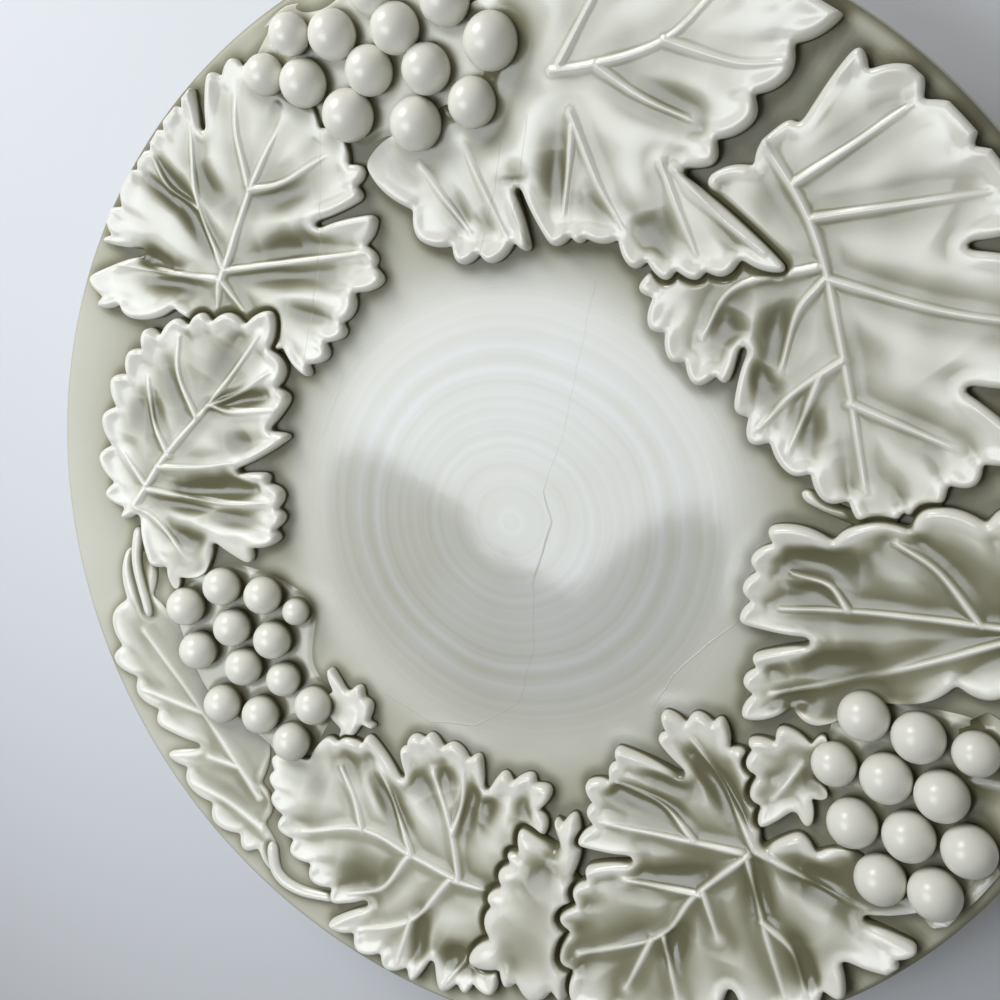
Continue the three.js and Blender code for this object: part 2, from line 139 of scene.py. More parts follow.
def insideDepth(points, ring, margin=3.0):  # distance inside a ring, negative outside
    depth = np.full(len(points), -margin)
    near = np.all((points > ring.min(0) - margin) & (points < ring.max(0) + margin), axis=1)
    spots = points[near]
    if not len(spots):
        return depth
    closed = np.vstack([ring, ring[:1]])
    gap, _ = routeDistance(spots, closed)
    inside = np.zeros(len(spots), bool)
    for (ax, ay), (bx, by) in zip(closed[:-1], closed[1:]):
        if ay != by:
            across = (ay > spots[:, 1]) != (by > spots[:, 1])
            inside ^= across & (spots[:, 0] < (bx - ax) * (spots[:, 1] - ay) / (by - ay) + ax)
    depth[near] = np.where(inside, gap, -gap)
    return depth


# Meshes
sheet = {
    "sunk": 0.3,
    "rowShare": 0.866,
    "bandShare": 0.85,
    "gridMargin": 0.5,
    "veinRows": [0, -0.3, 0.3, -0.62, 0.62, -0.95, 0.95],
    "besideVein": 1.1,
    "underStep": 4.0,
    "underMargin": 1.5,
}


def makeObject(name, points, faces):
    mesh = bpy.data.meshes.new(name)
    mesh.from_pydata([tuple(p) for p in np.asarray(points) * mm], [], [tuple(f) for f in faces])
    mesh.validate()
    mesh.polygons.foreach_set("use_smooth", np.ones(len(mesh.polygons), bool))
    piece = bpy.data.objects.new(name, mesh)
    scene.collection.objects.link(piece)
    return piece


def hexGrid(low, high, step):
    rows = np.arange(low[1], high[1], step * sheet["rowShare"])
    columns = np.arange(low[0], high[0], step)
    x, y = np.meshgrid(columns, rows)
    x[1::2] += step / 2
    return np.column_stack([x.ravel(), y.ravel()])


def leftOf(along):  # unit vectors, square to the given ones
    return np.column_stack([-along[:, 1], along[:, 0]]) / np.linalg.norm(along, axis=1)[:, None]


def inwardRing(ring, depth):
    return ring + leftOf(np.roll(ring, -1, 0) - np.roll(ring, 1, 0)) * depth


def besideRoute(route, ring, margin):  # points on and beside a vein
    side = leftOf(np.gradient(route, axis=0))
    spots = np.vstack([route + side * reach for reach in sheet["veinRows"]])
    return spots[insideDepth(spots, ring) > margin]


def triangulate(ring, inner):
    spots = [Vector(p) for p in np.vstack([ring, inner])]
    edges = [(i, (i + 1) % len(ring)) for i in range(len(ring))]
    points, _, faces, origins, _, _ = geometry.delaunay_2d_cdt(spots, edges, [], 1, 1e-4)
    place = {}
    for i, origin in enumerate(origins):
        for first in origin:
            place[first] = i
    return np.array([tuple(p) for p in points]), faces, [place[i] for i in range(len(ring))]


def makeSheet(name, ring, step, bands, heightAt, lines=()):  # closed relief, its outline on the rim
    low, high = ring.min(0), ring.max(0)
    inner = []
    for band in bands:
        spots = inwardRing(ring, band)
        inner.append(spots[insideDepth(spots, ring) > band * sheet["bandShare"]])
    grid = hexGrid(low, high, step)
    grid = grid[insideDepth(grid, ring) > bands[-1] + step * sheet["gridMargin"]]
    for route in lines:
        inner.append(besideRoute(route, ring, bands[-1]))
        grid = grid[routeDistance(grid, route)[0] > sheet["besideVein"]]
    inner.append(grid)
    points, faces, loop = triangulate(ring, np.vstack(inner))
    depth = insideDepth(points, ring)
    depth[loop] = 0
    rise = heightAt(points, np.maximum(depth, 0))
    coarse = hexGrid(low, high, sheet["underStep"])
    coarse = coarse[insideDepth(coarse, ring) > sheet["underMargin"]]
    under, underFaces, underLoop = triangulate(ring, coarse)
    flat = np.vstack([points, under])
    lift = np.concatenate([rise, np.full(len(under), -sheet["sunk"])])
    solid = np.column_stack([flat, faceHeight(np.hypot(flat[:, 0], flat[:, 1])) + lift])
    shift = len(points)
    allFaces = [tuple(f) for f in faces] + [tuple(shift + i for i in reversed(f)) for f in underFaces]
    for i in range(len(loop)):
        j = (i + 1) % len(loop)
        allFaces.append((loop[j], loop[i], shift + underLoop[i], shift + underLoop[j]))
    return makeObject(name, solid, allFaces)


# The wreath's drawing, from above: tips run anticlockwise, and [x, y, cutX, cutY] is a tip
# followed by a deep cut; a hollow is [fromX, fromY, toX, toY, width, depth]
leaves = {}
leaves["leaf_upper_left"] = {
    "hollows": [
        [-63, 76, -56.5, 60, 1.6, 1.3], [-55, 75, -52, 67, 1.8, 0.8],
        [-46, 57.5, -33, 58, 2.2, 1], [-65.5, 74, -58.5, 64.5, 1.2, 1],
        [-52, 53, -30, 51, 1.8, 0.7], [-73, 60, -66, 56, 1.6, 1.5],
        [-72, 53.5, -62, 52.5, 1.6, 0.8], [-43, 46, -35, 43, 1.5, 0.7],
        [-44, 66.5, -32, 67, 2, 0.6],
    ],
    "hub": [-56, 53],
    "tips": [
        [-41.5, 31.5], [-36.5, 35.5], [-31.5, 40], [-29, 44.3], [-21.3, 49.5], [-21.8, 53.6],
        [-20.3, 61.5, -33, 61.2], [-22, 65.2], [-20.3, 70], [-24, 77], [-30, 85], [-36, 91],
        [-41.5, 92], [-47, 90.3, -51.8, 81], [-52, 88.8], [-57.5, 85.8], [-62.5, 82], [-66, 78.5],
        [-70, 75.5], [-77, 68.5], [-80, 63, -72, 60], [-85, 56], [-85, 50], [-79, 47.3],
        [-64, 45], [-50, 38],
    ],
    "veins": [
        [[-56, 53], [-45, 69], [-34, 81]],
        [[-45, 69], [-38, 69.5], [-28, 73]],
        [[-55, 55], [-57, 68], [-54, 82]],
        [[-55, 54.5], [-24, 55]],
        [[-57, 53], [-66, 55], [-78, 58]],
        [[-45, 70], [-44.5, 80], [-42, 88]],
        [[-57.3, 67], [-62.5, 72], [-64, 79]],
        [[-56.5, 52.5], [-58.5, 47.5]],
        [[-56, 52.5], [-53, 46.5]],
    ],
}
leaves["leaf_left"] = {
    "lift": 1.0,
    "hollows": [
        [-74, 8.6, -58, 8.6, 1.8, 1.9], [-64, 27, -52, 28.5, 1.3, 1.2],
        [-63, 19, -53, 18, 1.8, 0.9], [-80, 6.5, -68, 4, 1.2, 0.8],
        [-70, 2.5, -57, 0.5, 1.6, 0.8], [-78, -1, -70, -3, 1.6, 0.8], [-63, 33, -57, 40, 3, 0.6],
        [-79, 22, -77, 30, 1.6, 0.6], [-84, 22, -80, 30, 2, 0.6], [-72, 27, -72, 36, 2, 0.6],
    ],
    "hub": [-87, 5],
    "tips": [
        [-62, -8.6], [-54, -3.2], [-52.3, 1.8], [-52, 7], [-54.6, 11.2, -61.3, 12.3],
        [-48.3, 19.3, -52, 21], [-46.8, 27.6], [-46.4, 34.8], [-46.2, 45.6], [-55.5, 46],
        [-61.5, 46.7], [-67.5, 46], [-75, 44.6], [-79.8, 40.2], [-85, 35], [-89, 27],
        [-92, 18], [-92.5, 9], [-90, 3, -86.5, 3.5], [-84.5, -8], [-80, -14.3],
        [-73, -10.5, -69.5, -4],
    ],
    "veins": [
        [[-86, 6], [-77, 16.5], [-64, 28], [-50, 41]],
        [[-68, 25], [-70, 34], [-68, 42]],
        [[-76, 17], [-78, 25], [-77, 34]],
        [[-65, 27], [-58, 29], [-50, 33]],
        [[-64.5, 27.3], [-59.5, 25.4], [-50, 25.2]],
        [[-79, 14.5], [-70, 13.8], [-62, 14.2]],
        [[-82, 9.5], [-66, 5.5], [-56, 5]],
        [[-86, 6], [-81, 2], [-76, -7]],
        [[-82.5, 10.5], [-86, 18]],
    ],
}
leaves["leaf_bottom_left"] = {
    "hollows": [
        [-44, -54, -34, -53.5, 2.4, 0.5], [-36, -56, -28, -66, 1.6, 0.9],
        [-26, -54, -23, -60, 2.2, 0.8], [-19, -53, -17.5, -58, 1.8, 0.8],
        [-11, -56, -14, -66, 1.8, 0.9], [-7, -58, -10, -64, 1.6, 1],
        [0.5, -57, -1, -62, 1.5, 0.7], [-44, -76, -34, -78, 3, 0.8],
        [-23, -84, -24, -96, 1.4, 1], [-19, -90, -12, -94, 2, 1], [-52, -58, -46, -60, 3, 0.4],
    ],
    "hub": [-16, -76],
    "tips": [
        [5.8, -55.3], [1.8, -52.7], [-4.8, -52.8, -9, -57], [-10.4, -49.9], [-16.6, -48],
        [-22, -46.2], [-26.3, -47], [-28.9, -49.8, -28.6, -56.2], [-36.5, -47.4], [-42.5, -48.4],
        [-46.3, -48.2, -51, -53], [-59.8, -52.9], [-60.6, -57.3], [-60.2, -62], [-58.7, -68.3],
        [-55.6, -74], [-50.6, -79.4], [-45.4, -84.4, -37, -84], [-46.2, -89], [-39, -93.8],
        [-32, -96.8], [-25.5, -98.6, -21, -94], [-19, -99.5], [-13, -99], [-6.6, -98],
        [-3, -90], [0, -75], [5, -62],
    ],
    "veins": [
        [[-16, -76], [-26, -72.5], [-38, -68], [-52, -69.5]],
        [[-26, -72.5], [-30, -63], [-34, -54]],
        [[-38, -68], [-40, -61], [-43, -55]],
        [[-15, -76], [-17, -66], [-21, -55]],
        [[-16.6, -67], [-14.3, -60], [-14, -54]],
        [[-27, -73], [-33, -80], [-41, -82]],
        [[-17, -76.5], [-26, -86], [-38, -89.5]],
        [[-26, -86], [-29, -95]],
        [[-16, -76.5], [-9, -77.5]],
        [[-12, -91], [-18, -98]],
    ],
}
leaves["leaflet_bottom"] = {
    "lift": 0.4,
    "dome": 1.2,
    "hollows": [
        [1, -74, 8, -67, 2.4, 0.9], [-3, -88, -1, -93, 1.5, 0.5],
    ],
    "hub": [4, -72],
    "tips": [
        [11.3, -59.2], [6.6, -60.8, 7.2, -66.2], [-0.8, -63.6], [-4, -69], [-5.9, -73.6],
        [-8.4, -78.8], [-8.8, -83.2], [-12.3, -92], [-3.5, -95.8], [2.5, -97.2], [9, -96],
        [14, -86], [14, -76],
    ],
    "veins": [],
}
leaves["leaf_bottom_right"] = {
    "lift": 0.6,
    "hollows": [
        [36, -44, 45, -53, 1.6, 1.2], [24, -47, 36, -50, 1.8, 1.1], [16, -53, 32, -55, 1.6, 1.1],
        [26, -68, 38, -65.5, 1.6, 0.7], [31, -82, 33.5, -77, 1.4, 0.9],
        [56, -61, 64, -62, 2, 1.3], [47.5, -62, 49, -70, 1.5, 0.8], [55, -74, 58, -82, 1.5, 1],
    ],
    "hub": [47.5, -59.3],
    "tips": [
        [76, -62], [66, -56], [55.5, -54.6, 49, -58], [46, -41.5], [41.3, -35.9], [36.3, -35.8],
        [29.7, -36.4], [28.6, -41.6, 33.6, -47.8], [20, -44.8], [18.7, -48.6], [13.3, -53],
        [13.5, -58.3], [11.6, -65, 23, -66.2], [13.4, -69.4], [10.7, -74], [7.8, -79.8],
        [8.2, -88.3], [10.8, -95], [19, -99], [29, -97], [38, -94, 43, -85.5], [48, -90.5],
        [56, -86.5], [63, -81, 63, -75], [72, -74], [75, -69, 66.5, -66.5],
    ],
    "veins": [
        [[47.5, -59], [41, -47.5], [35, -40]],
        [[45, -60], [17, -60]],
        [[36, -59.8], [30, -54.5], [20, -51.5]],
        [[46, -60.5], [36, -70], [29, -79], [12.5, -86]],
        [[37, -69.5], [22, -70]],
        [[30, -79], [33, -90]],
        [[27.5, -80], [22.5, -90]],
        [[37.5, -68.5], [40.5, -76.5]],
        [[46, -61], [49, -72], [53, -84]],
        [[48.8, -71.5], [54, -75], [56.5, -82]],
        [[48, -59.3], [67, -65]],
    ],
}
leaves["leaf_right"] = {
    "lift": 0.6,
    "hollows": [
        [53, -5, 66, -5, 1.8, 1.2], [56, -24, 66, -21, 1.6, 0.9], [50, -33, 60, -29, 1.8, 1.2],
        [54, -10.5, 62, -10.5, 1.5, 0.6], [48, -26, 54, -25, 1.4, 0.6],
    ],
    "hub": [92, -13],
    "tips": [
        [101, -6], [98, 2], [88, 6], [76, 5], [66, 1.5], [50.8, 0.3], [47.5, -5.6],
        [45.8, -11.2], [45.1, -17.3, 57.2, -19.6], [47.2, -23.6], [45.4, -28.6], [45.1, -35.2],
        [58, -34.5], [72, -28], [85, -25], [97, -26], [100.5, -16],
    ],
    "veins": [
        [[92, -13], [68, -13], [53, -14]],
        [[64, -13], [61, -9], [55, -7.5]],
        [[92, -13], [68, -24], [51, -30]],
        [[84, -13], [78, -5], [72, -1]],
    ],
}
leaves["leaflet_right"] = {
    "lift": 0.5,
    "hollows": [
        [56, -45, 59, -44, 1.6, 0.8],
    ],
    "hub": [60, -42],
    "tips": [
        [60, -36], [52, -36], [46, -39.5], [45.7, -44], [46.5, -50], [48.2, -55, 54.7, -51.2],
        [57, -53.2], [60.5, -47],
    ],
    "veins": [[[56, -42], [51, -49]]],
}
leaves["leaf_upper_right"] = {
    "hollows": [
        [47, 38.5, 44, 32.5, 2.1, 0.8], [49, 30, 52, 22, 1.8, 0.9], [54, 40, 52, 28, 2, 0.8],
        [57, 22, 60, 15, 1.8, 0.6], [60, 70, 63, 67, 2, 1],
    ],
    "hub": [51.5, 66],
    "tips": [
        [67.5, 74.3, 58.5, 66], [53, 64], [44, 60], [38, 52], [29.8, 43.3], [31.3, 36.2],
        [34.8, 30.3], [39, 25.8], [44.4, 25.8, 47.8, 31.8], [45.7, 21], [48, 15.3],
        [55.2, 9.8], [60.7, 5.3], [68.4, 0], [76, 3], [83, 9], [91, 14, 82, 24], [97.5, 24],
        [98, 32], [95, 40, 82, 45], [91.5, 47], [88, 54.5], [82.5, 62], [75.5, 69.5],
    ],
    "veins": [
        [[52, 66], [60, 50], [64, 30], [67, 8]],
        [[57.5, 57], [66, 61], [76, 66]],
        [[60, 51.5], [84, 52]],
        [[61.5, 42], [57, 37], [54, 28]],
        [[60.5, 44], [47, 42], [41, 34.5]],
        [[62, 42], [78, 36], [91, 33]],
        [[64, 29], [56, 24], [50, 18]],
        [[60.5, 26.8], [57.5, 20], [55, 14.5]],
        [[65, 22], [80, 15]],
    ],
}
leaves["leaf_top"] = {
    "lift": 1.0,
    "hollows": [
        [17.5, 68, 16.5, 60, 2.2, 0.8], [33, 56, 34.5, 47.5, 2.3, 1], [1, 60, 3.5, 54, 1.6, 0.4],
        [-4, 63, -1, 57, 1.6, 0.4], [33, 76, 46, 68, 2.4, 0.5], [9.6, 63, 9.6, 65, 1.4, 0.7],
        [22, 60, 25, 54, 1.6, 0.5], [45, 55, 52, 47, 1.6, 0.5],
    ],
    "hub": [21, 80],
    "tips": [
        [65.8, 79.3], [58, 86.5], [49, 91], [39, 95.5], [28, 98.5], [16, 99], [6, 92], [-6, 80],
        [-19.5, 70.5], [-11.6, 56.2], [-4.3, 50.9], [1.8, 50.5], [10, 51.8, 9.6, 62.5],
        [14.8, 52.2], [20, 52], [24, 51.9], [29.5, 46.8], [35.4, 44.2], [41, 43.9], [45.4, 44.1],
        [55.8, 44, 40.3, 61.3], [45.2, 61.8], [52.1, 67.5], [57.6, 72.6],
    ],
    "veins": [
        [[19.5, 79.7], [27, 79.3], [39, 80.5], [49, 86]],
        [[39, 80.5], [50, 75.3], [57, 74]],
        [[27, 79.3], [34, 73.5], [41.5, 69]],
        [[21, 80.5], [29, 89], [36, 93]],
        [[21.7, 73], [25, 61.5], [28.3, 54]],
        [[21.8, 71], [18, 58]],
        [[0.4, 72], [6, 55.5]],
        [[-8.5, 69], [-1, 56.5]],
        [[36.5, 63], [38.5, 56], [41, 48]],
        [[38.5, 62], [46, 53], [52.5, 47]],
    ],
}
leaves["leaflet_left"] = {
    "hub": [-40, -44],
    "rounding": 28,
    "tips": [
        [-34.5, -46], [-35.6, -40], [-38.2, -36.2, -41, -38], [-45.6, -32.4], [-47, -40], [-44, -50],
    ],
    "veins": [],
}
leaves["leaf_edge_left"] = {
    "hub": [-62, -70],
    "thickness": 1.1,
    "low": 0.8,
    "marginWidth": 1.6,
    "marginLow": 0.4,
    "rounding": 20,
    "tips": [
        [-62, -48], [-74, -36], [-84, -20], [-86, -4], [-91, -4], [-97, -20], [-98, -30],
        [-93, -38.5], [-88.5, -46, -78.5, -51.5], [-86.5, -53], [-82, -59.5], [-75.5, -68.5],
        [-68, -75], [-59.5, -80], [-60.5, -64],
    ],
    "veins": [
        [[-63, -70], [-72, -64], [-80, -60]],
        [[-69, -56], [-76, -54]],
        [[-77.5, -43.5], [-91, -38]],
        [[-64, -63], [-79, -41], [-90, -24]],
    ],
}
leaves["leaf_edge_right"] = {
    "hub": [76, -40],
    "thickness": 1.1,
    "tips": [
        [80, -30], [98, -30], [96, -39], [92, -47], [88, -54], [83, -61], [77, -66.5], [70, -58],
        [71, -45],
    ],
    "veins": [[[80, -40], [92, -39]], [[79, -48], [86, -53]]],
}

# A pad is the outline of a bunch; a grape is [x, y] or [x, y, its own diameter]
bunches = {}
bunches["grapes_left"] = {
    "pad": [
        [-51, -14.5], [-60, -9.5], [-69.5, -7.5], [-79, -11.5], [-83.5, -19], [-81.5, -30],
        [-76.5, -41], [-69, -47], [-60, -54], [-52, -55.5], [-46.5, -48], [-42.8, -40.5],
        [-48.5, -32], [-47, -20],
    ],
    "grapes": [
        [-68.5, -13.5], [-59, -15.8], [-52, -19.8, 6.2], [-77.5, -17.8], [-67, -23], [-57.7, -26],
        [-75.5, -28], [-65, -32], [-55.8, -35, 7.8], [-70.5, -40.5], [-61.5, -43], [-48.8, -40.8],
        [-54.3, -49],
    ],
}
bunches["grapes_top"] = {
    "pad": [
        [15.8, 86], [11, 93.5], [3.5, 99], [-11, 102], [-22, 98.5], [-30, 98.5], [-38, 93.5],
        [-41, 87], [-35, 81], [-27, 76.5], [-20.5, 72.5], [-14, 73.5], [-7.5, 69.5], [-1, 72],
        [6, 71.8], [12, 79],
    ],
    "grapes": [
        [-35.5, 88, 7.4], [-28.5, 93.5, 7.4], [-28, 85.5], [-20, 92], [-20.5, 79, 9.4],
        [-14.5, 85.5], [-11, 97, 7.4], [-7.8, 91], [-3.5, 84], [-7.5, 75.7, 9.4], [2.5, 93.5],
        [4, 77.5], [9.5, 86, 9.4],
    ],
}
bunches["grapes_right"] = {
    "pad": [
        [89, -33], [84, -28], [75, -27], [66.5, -25], [60.5, -30], [59, -35.5], [55.8, -41],
        [59, -47], [58.8, -53], [63, -60], [69, -64.5], [78, -64.5], [84, -58], [88, -50],
        [86, -42],
    ],
    "grapes": [
        [66.5, -31], [61.5, -40.5, 7.8], [64.5, -50], [69, -58.5], [70, -41], [75, -33],
        [73.5, -50], [78.5, -42], [83.5, -34, 7.4], [77.5, -58.5], [82.5, -50],
    ],
}

grape = {
    "diameter": 8.6,
    "height": 7.0,
    "segments": 44,
    "rings": 30,
    "turn": 0.6,
    "uneven": 0.16,
    "unevenScale": 160.0,
    "seed": 3,
    "padHeight": 1.0,
    "padMargin": 3.0,
    "padEdge": 0.15,
    "padStep": 0.4,
    "padRounding": 4,
    "padGrid": 0.6,
    "padBands": [0.15, 0.4, 0.8],
}

stalks = {
    "stalk_left": [[-87.5, 1], [-89.5, -8], [-88, -21]],
    "stalk_lower_left": [[-61, -72.5], [-59.5, -79.5], [-54, -83], [-44.5, -84.2]],
    "stalk_right": [[56.5, 6.8], [62, 3.8], [71, 0.5]],
}

stalkShape = {
    "width": 3.0,
    "taper": 0.75,
    "height": 1.8,
    "edgeShare": 0.25,
    "endLength": 2.4,
    "endLeast": 0.03,
    "rounding": 4,
    "outlineStep": 0.3,
    "step": 0.4,
    "bands": [0.1, 0.3, 0.6, 0.9],
}

# From the top of the pile down
pile = [
    "grapes_top", "grapes_left", "grapes_right", "leaf_left", "leaf_top", "leaf_right",
    "leaflet_right", "leaf_bottom_right", "leaflet_bottom", "leaf_bottom_left", "leaf_upper_right",
    "leaf_upper_left", "stalk_right", "stalk_left", "stalk_lower_left", "leaflet_left",
    "leaf_edge_right", "leaf_edge_left",
]


# Leaf outlines: rounded teeth, leaning notches and round-ended cuts
tooth = {
    "depth": 0.42,
    "depthMost": 3.0,
    "lean": 0.28,
    "bulge": 0.24,
    "cutBulge": 0.06,
    "cutWidth": 1.8,
    "rounding": 15,
    "regain": 0.35,  # what the rounding took off
    "outermost": 102.4,
    "sidePoints": 14,
    "cutPoints": 8,
    "step": 0.35,
}


def toothSide(start, end, bulge):
    side = end - start
    control = start + side * 0.5 + bulge * np.array([side[1], -side[0]])
    return quadCurve(start, control, end, tooth["sidePoints"])


def gapBetween(entry, nextTip, hub):
    tip = np.array(entry[:2], float)
    if len(entry) == 2:
        side = nextTip - tip
        pitch = np.linalg.norm(side)
        nearer = np.linalg.norm(tip - hub) < np.linalg.norm(nextTip - hub)
        lean = tooth["lean"] if nearer else 1 - tooth["lean"]
        inward = np.array([-side[1], side[0]]) / pitch * min(tooth["depth"] * pitch, tooth["depthMost"])
        notch = tip + side * lean + inward
        return {"first": notch, "second": notch, "round": None, "bulge": tooth["bulge"], "deep": False}
    end = np.array(entry[2:], float)
    inward = end - (tip + nextTip) / 2
    inward *= tooth["cutWidth"] / np.linalg.norm(inward)
    across = np.array([inward[1], -inward[0]]) / 2
    if across @ (tip - nextTip) < 0:
        across = -across
    return {
        "first": end + across,
        "second": end - across,
        "round": end + inward,
        "bulge": tooth["cutBulge"],
        "deep": True,
    }


def leafEdge(leaf):  # the outline, and the places where a valley runs in from it
    hub = np.array(leaf["hub"], float)
    tips = [np.array(t[:2], float) for t in leaf["tips"]]
    gaps = [gapBetween(t, tips[(i + 1) % len(tips)], hub) for i, t in enumerate(leaf["tips"])]
    runs = []
    valleys = []
    before = gaps[-1]
    for tip, after in zip(tips, gaps):
        runs.append(toothSide(before["second"], tip, before["bulge"]))
        runs.append(toothSide(tip, after["first"], after["bulge"]))
        if after["deep"]:
            runs.append(quadCurve(after["first"], after["round"], after["second"], tooth["cutPoints"]))
        valleys.append(((after["first"] + after["second"]) / 2, after["deep"]))
        before = after
    ring = evenRing(np.vstack(runs), tooth["step"])
    ring = soften(ring, leaf.get("rounding", tooth["rounding"]))
    ring = evenRing(inwardRing(ring, -tooth["regain"]), tooth["step"])
    reach = np.hypot(ring[:, 0], ring[:, 1])
    ring *= np.minimum(1, tooth["outermost"] / reach)[:, None]  # keeps clear of the lip
    return ring, valleys


# Relief of a leaf, in millimetres above the rim; a leaf's own values go before these
relief = {
    "thickness": 2.4,
    "lift": 0.0,
    "least": 0.3,
    "leastBlend": 0.5,
    "marginWidth": 1.2,
    "marginLow": 0.5,
    "curl": 0.35,
    "curlReach": (0.6, 3.2),
    "vein": 0.55,
    "veinWidth": 0.45,
    "veinWide": 1.25,
    "veinNarrow": 0.5,
    "veinFade": 0.55,
    "fold": 0.1,
    "foldWidth": 1.4,
    "groove": 0.06,
    "grooveAway": 2.4,
    "grooveWidth": 1.2,
    "pillow": 0.55,
    "pillowReach": (0.5, 8.0),
    "pillowBlend": 1.6,
    "dome": 0.0,
    "domeWidth": 3.0,
    "valley": (0.34, 1.0, 7.0),  # depth, width and length
    "deepValley": (0.5, 2.2, 5.0),
    "valleyShare": 0.6,
    "hollow": 0.7,
    "hollowWidth": 1.6,
    "hollowEnds": 0.45,
    "wave": 0.08,
    "low": 2.4,  # height under a bunch
    "grid": 0.42,
    "bands": [0.08, 0.2, 0.4, 0.7, 1.05, 1.4],
}

# How low a sprig lies under another; a reach is measured inward from the cover's outline
press = {
    "bunchReach": (-7.0, 2.0),
    "coreReach": (2.5, 8.0),
    "coreLow": 0.7,
    "leafReach": (-1.3, 0.3),
    "leafShare": 0.45,
    "stalkLow": 0.8,
}


def pressTo(rise, low, reach, within):
    return rise + (np.minimum(rise, low) - rise) * smoothStep(*reach, within)


def pressUnder(rise, points, covers, low=relief["low"]):
    for cover in covers:
        if cover in bunches:
            within = insideDepth(points, edges[cover], press["coreReach"][1])
            rise = pressTo(rise, low, press["bunchReach"], within)
            rise = pressTo(rise, press["coreLow"], press["coreReach"], within)
        else:
            under = press["stalkLow"]
            if cover in leaves:
                under = press["leafShare"] * (relief["thickness"] + leaves[cover].get("lift", 0.0))
            rise = pressTo(rise, under, press["leafReach"], insideDepth(points, edges[cover]))
    return rise


def hollowAt(leaf, points):  # the drawn hollows, the deeper one where two meet
    hollow = np.zeros(len(points))
    for ax, ay, bx, by, width, drop in leaf.get("hollows", []):
        gap, along = routeDistance(points, np.array([[ax, ay], [bx, by]], float))
        ends = relief["hollowEnds"]
        drop = drop * (ends + (1 - ends) * np.sin(math.pi * along))
        hollow = np.maximum(hollow, drop * np.exp(-((gap / (relief["hollowWidth"] * width)) ** 2)))
    return hollow


def leafRise(leaf, valleys, points, depth, covers):
    own = {**relief, **leaf}
    thin = own["thickness"] / relief["thickness"]
    hub = np.array(leaf["hub"], float)
    rise = np.full(len(points), own["thickness"] + own["lift"])
    veinGap = np.full(len(points), 1e9)
    nearness = np.full(len(points), 1e-6)
    ridge = np.zeros(len(points))
    for vein in leaf["veins"]:
        gap, along = routeDistance(points, smoothRoute(vein))
        width = own["veinWidth"] * (own["veinWide"] - own["veinNarrow"] * along)
        crest = own["vein"] * np.exp(-((gap / width) ** 2))
        crest = crest + own["fold"] * np.exp(-((gap / own["foldWidth"]) ** 2))
        ridge = np.maximum(ridge, (1 - own["veinFade"] * along) * crest)
        veinGap = np.minimum(veinGap, gap)
        nearness += np.exp(-gap / own["pillowBlend"])
    softGap = -own["pillowBlend"] * np.log(nearness)  # like veinGap, without creases midway
    fold = own["pillow"] * smoothStep(*own["pillowReach"], softGap)
    fold -= own["groove"] * np.exp(-(((veinGap - own["grooveAway"]) / own["grooveWidth"]) ** 2))
    fold += own["dome"] * smoothStep(0.0, own["domeWidth"], depth)
    for spot, deep in valleys:
        drop, width, length = own["deepValley" if deep else "valley"]
        away = np.linalg.norm(hub - spot)
        inward = (hub - spot) / max(away, 1e-6)
        reach = min(length, own["valleyShare"] * away)
        gap, along = routeDistance(points, np.array([spot, spot + inward * reach]))
        fold -= drop * (1 - along) * np.exp(-((gap / (width * (1 + along))) ** 2))
    fold -= own["hollow"] * hollowAt(leaf, points)
    fold += own["curl"] * (1 - smoothStep(*own["curlReach"], depth))
    x, y = points.T
    fold += own["wave"] * np.sin(0.45 * x + 0.25 * y + 1.0) * np.sin(0.4 * y - 0.2 * x)
    least = own["least"] * own["thickness"]
    spare = rise + (fold + ridge) * thin - least
    rise = least + 0.5 * (spare + np.hypot(spare, own["leastBlend"] * thin))
    share = np.clip(depth / own["marginWidth"], 0, 1)
    roundOver = np.sqrt(np.maximum(1 - (1 - share) ** 2, 0))
    rise *= own["marginLow"] + (1 - own["marginLow"]) * roundOver
    return pressUnder(rise, points, covers, own["low"])


print("outlines")
edges = {}
valleysOf = {}
for name, leaf in leaves.items():
    edges[name], valleysOf[name] = leafEdge(leaf)
for name, bunch in bunches.items():
    pad = np.array(bunch["pad"], float)
    wrapped = smoothRoute(np.vstack([pad[-2:], pad, pad[:2]]), grape["padStep"])
    first = np.argmin(np.linalg.norm(wrapped - pad[0], axis=1))
    last = len(wrapped) - 1 - np.argmin(np.linalg.norm(wrapped[::-1] - pad[0], axis=1))
    edges[name] = soften(evenRing(wrapped[first:last], grape["padStep"]), grape["padRounding"])
for name, route in stalks.items():
    s = stalkShape
    path = smoothRoute(route, s["step"])
    side = -leftOf(np.gradient(path, axis=0))
    share = np.linspace(0, 1, len(path))
    fromEnd = np.minimum(share, 1 - share) * len(path) * s["step"] / s["endLength"]
    half = s["width"] / 2 * (1 + (s["taper"] - 1) * share)
    half = (half * np.sqrt(np.clip(1 - (1 - np.minimum(fromEnd, 1)) ** 2, s["endLeast"], 1)))[:, None]
    around = np.vstack([path + side * half, (path - side * half)[::-1]])
    edges[name] = soften(evenRing(around, s["outlineStep"]), s["rounding"])

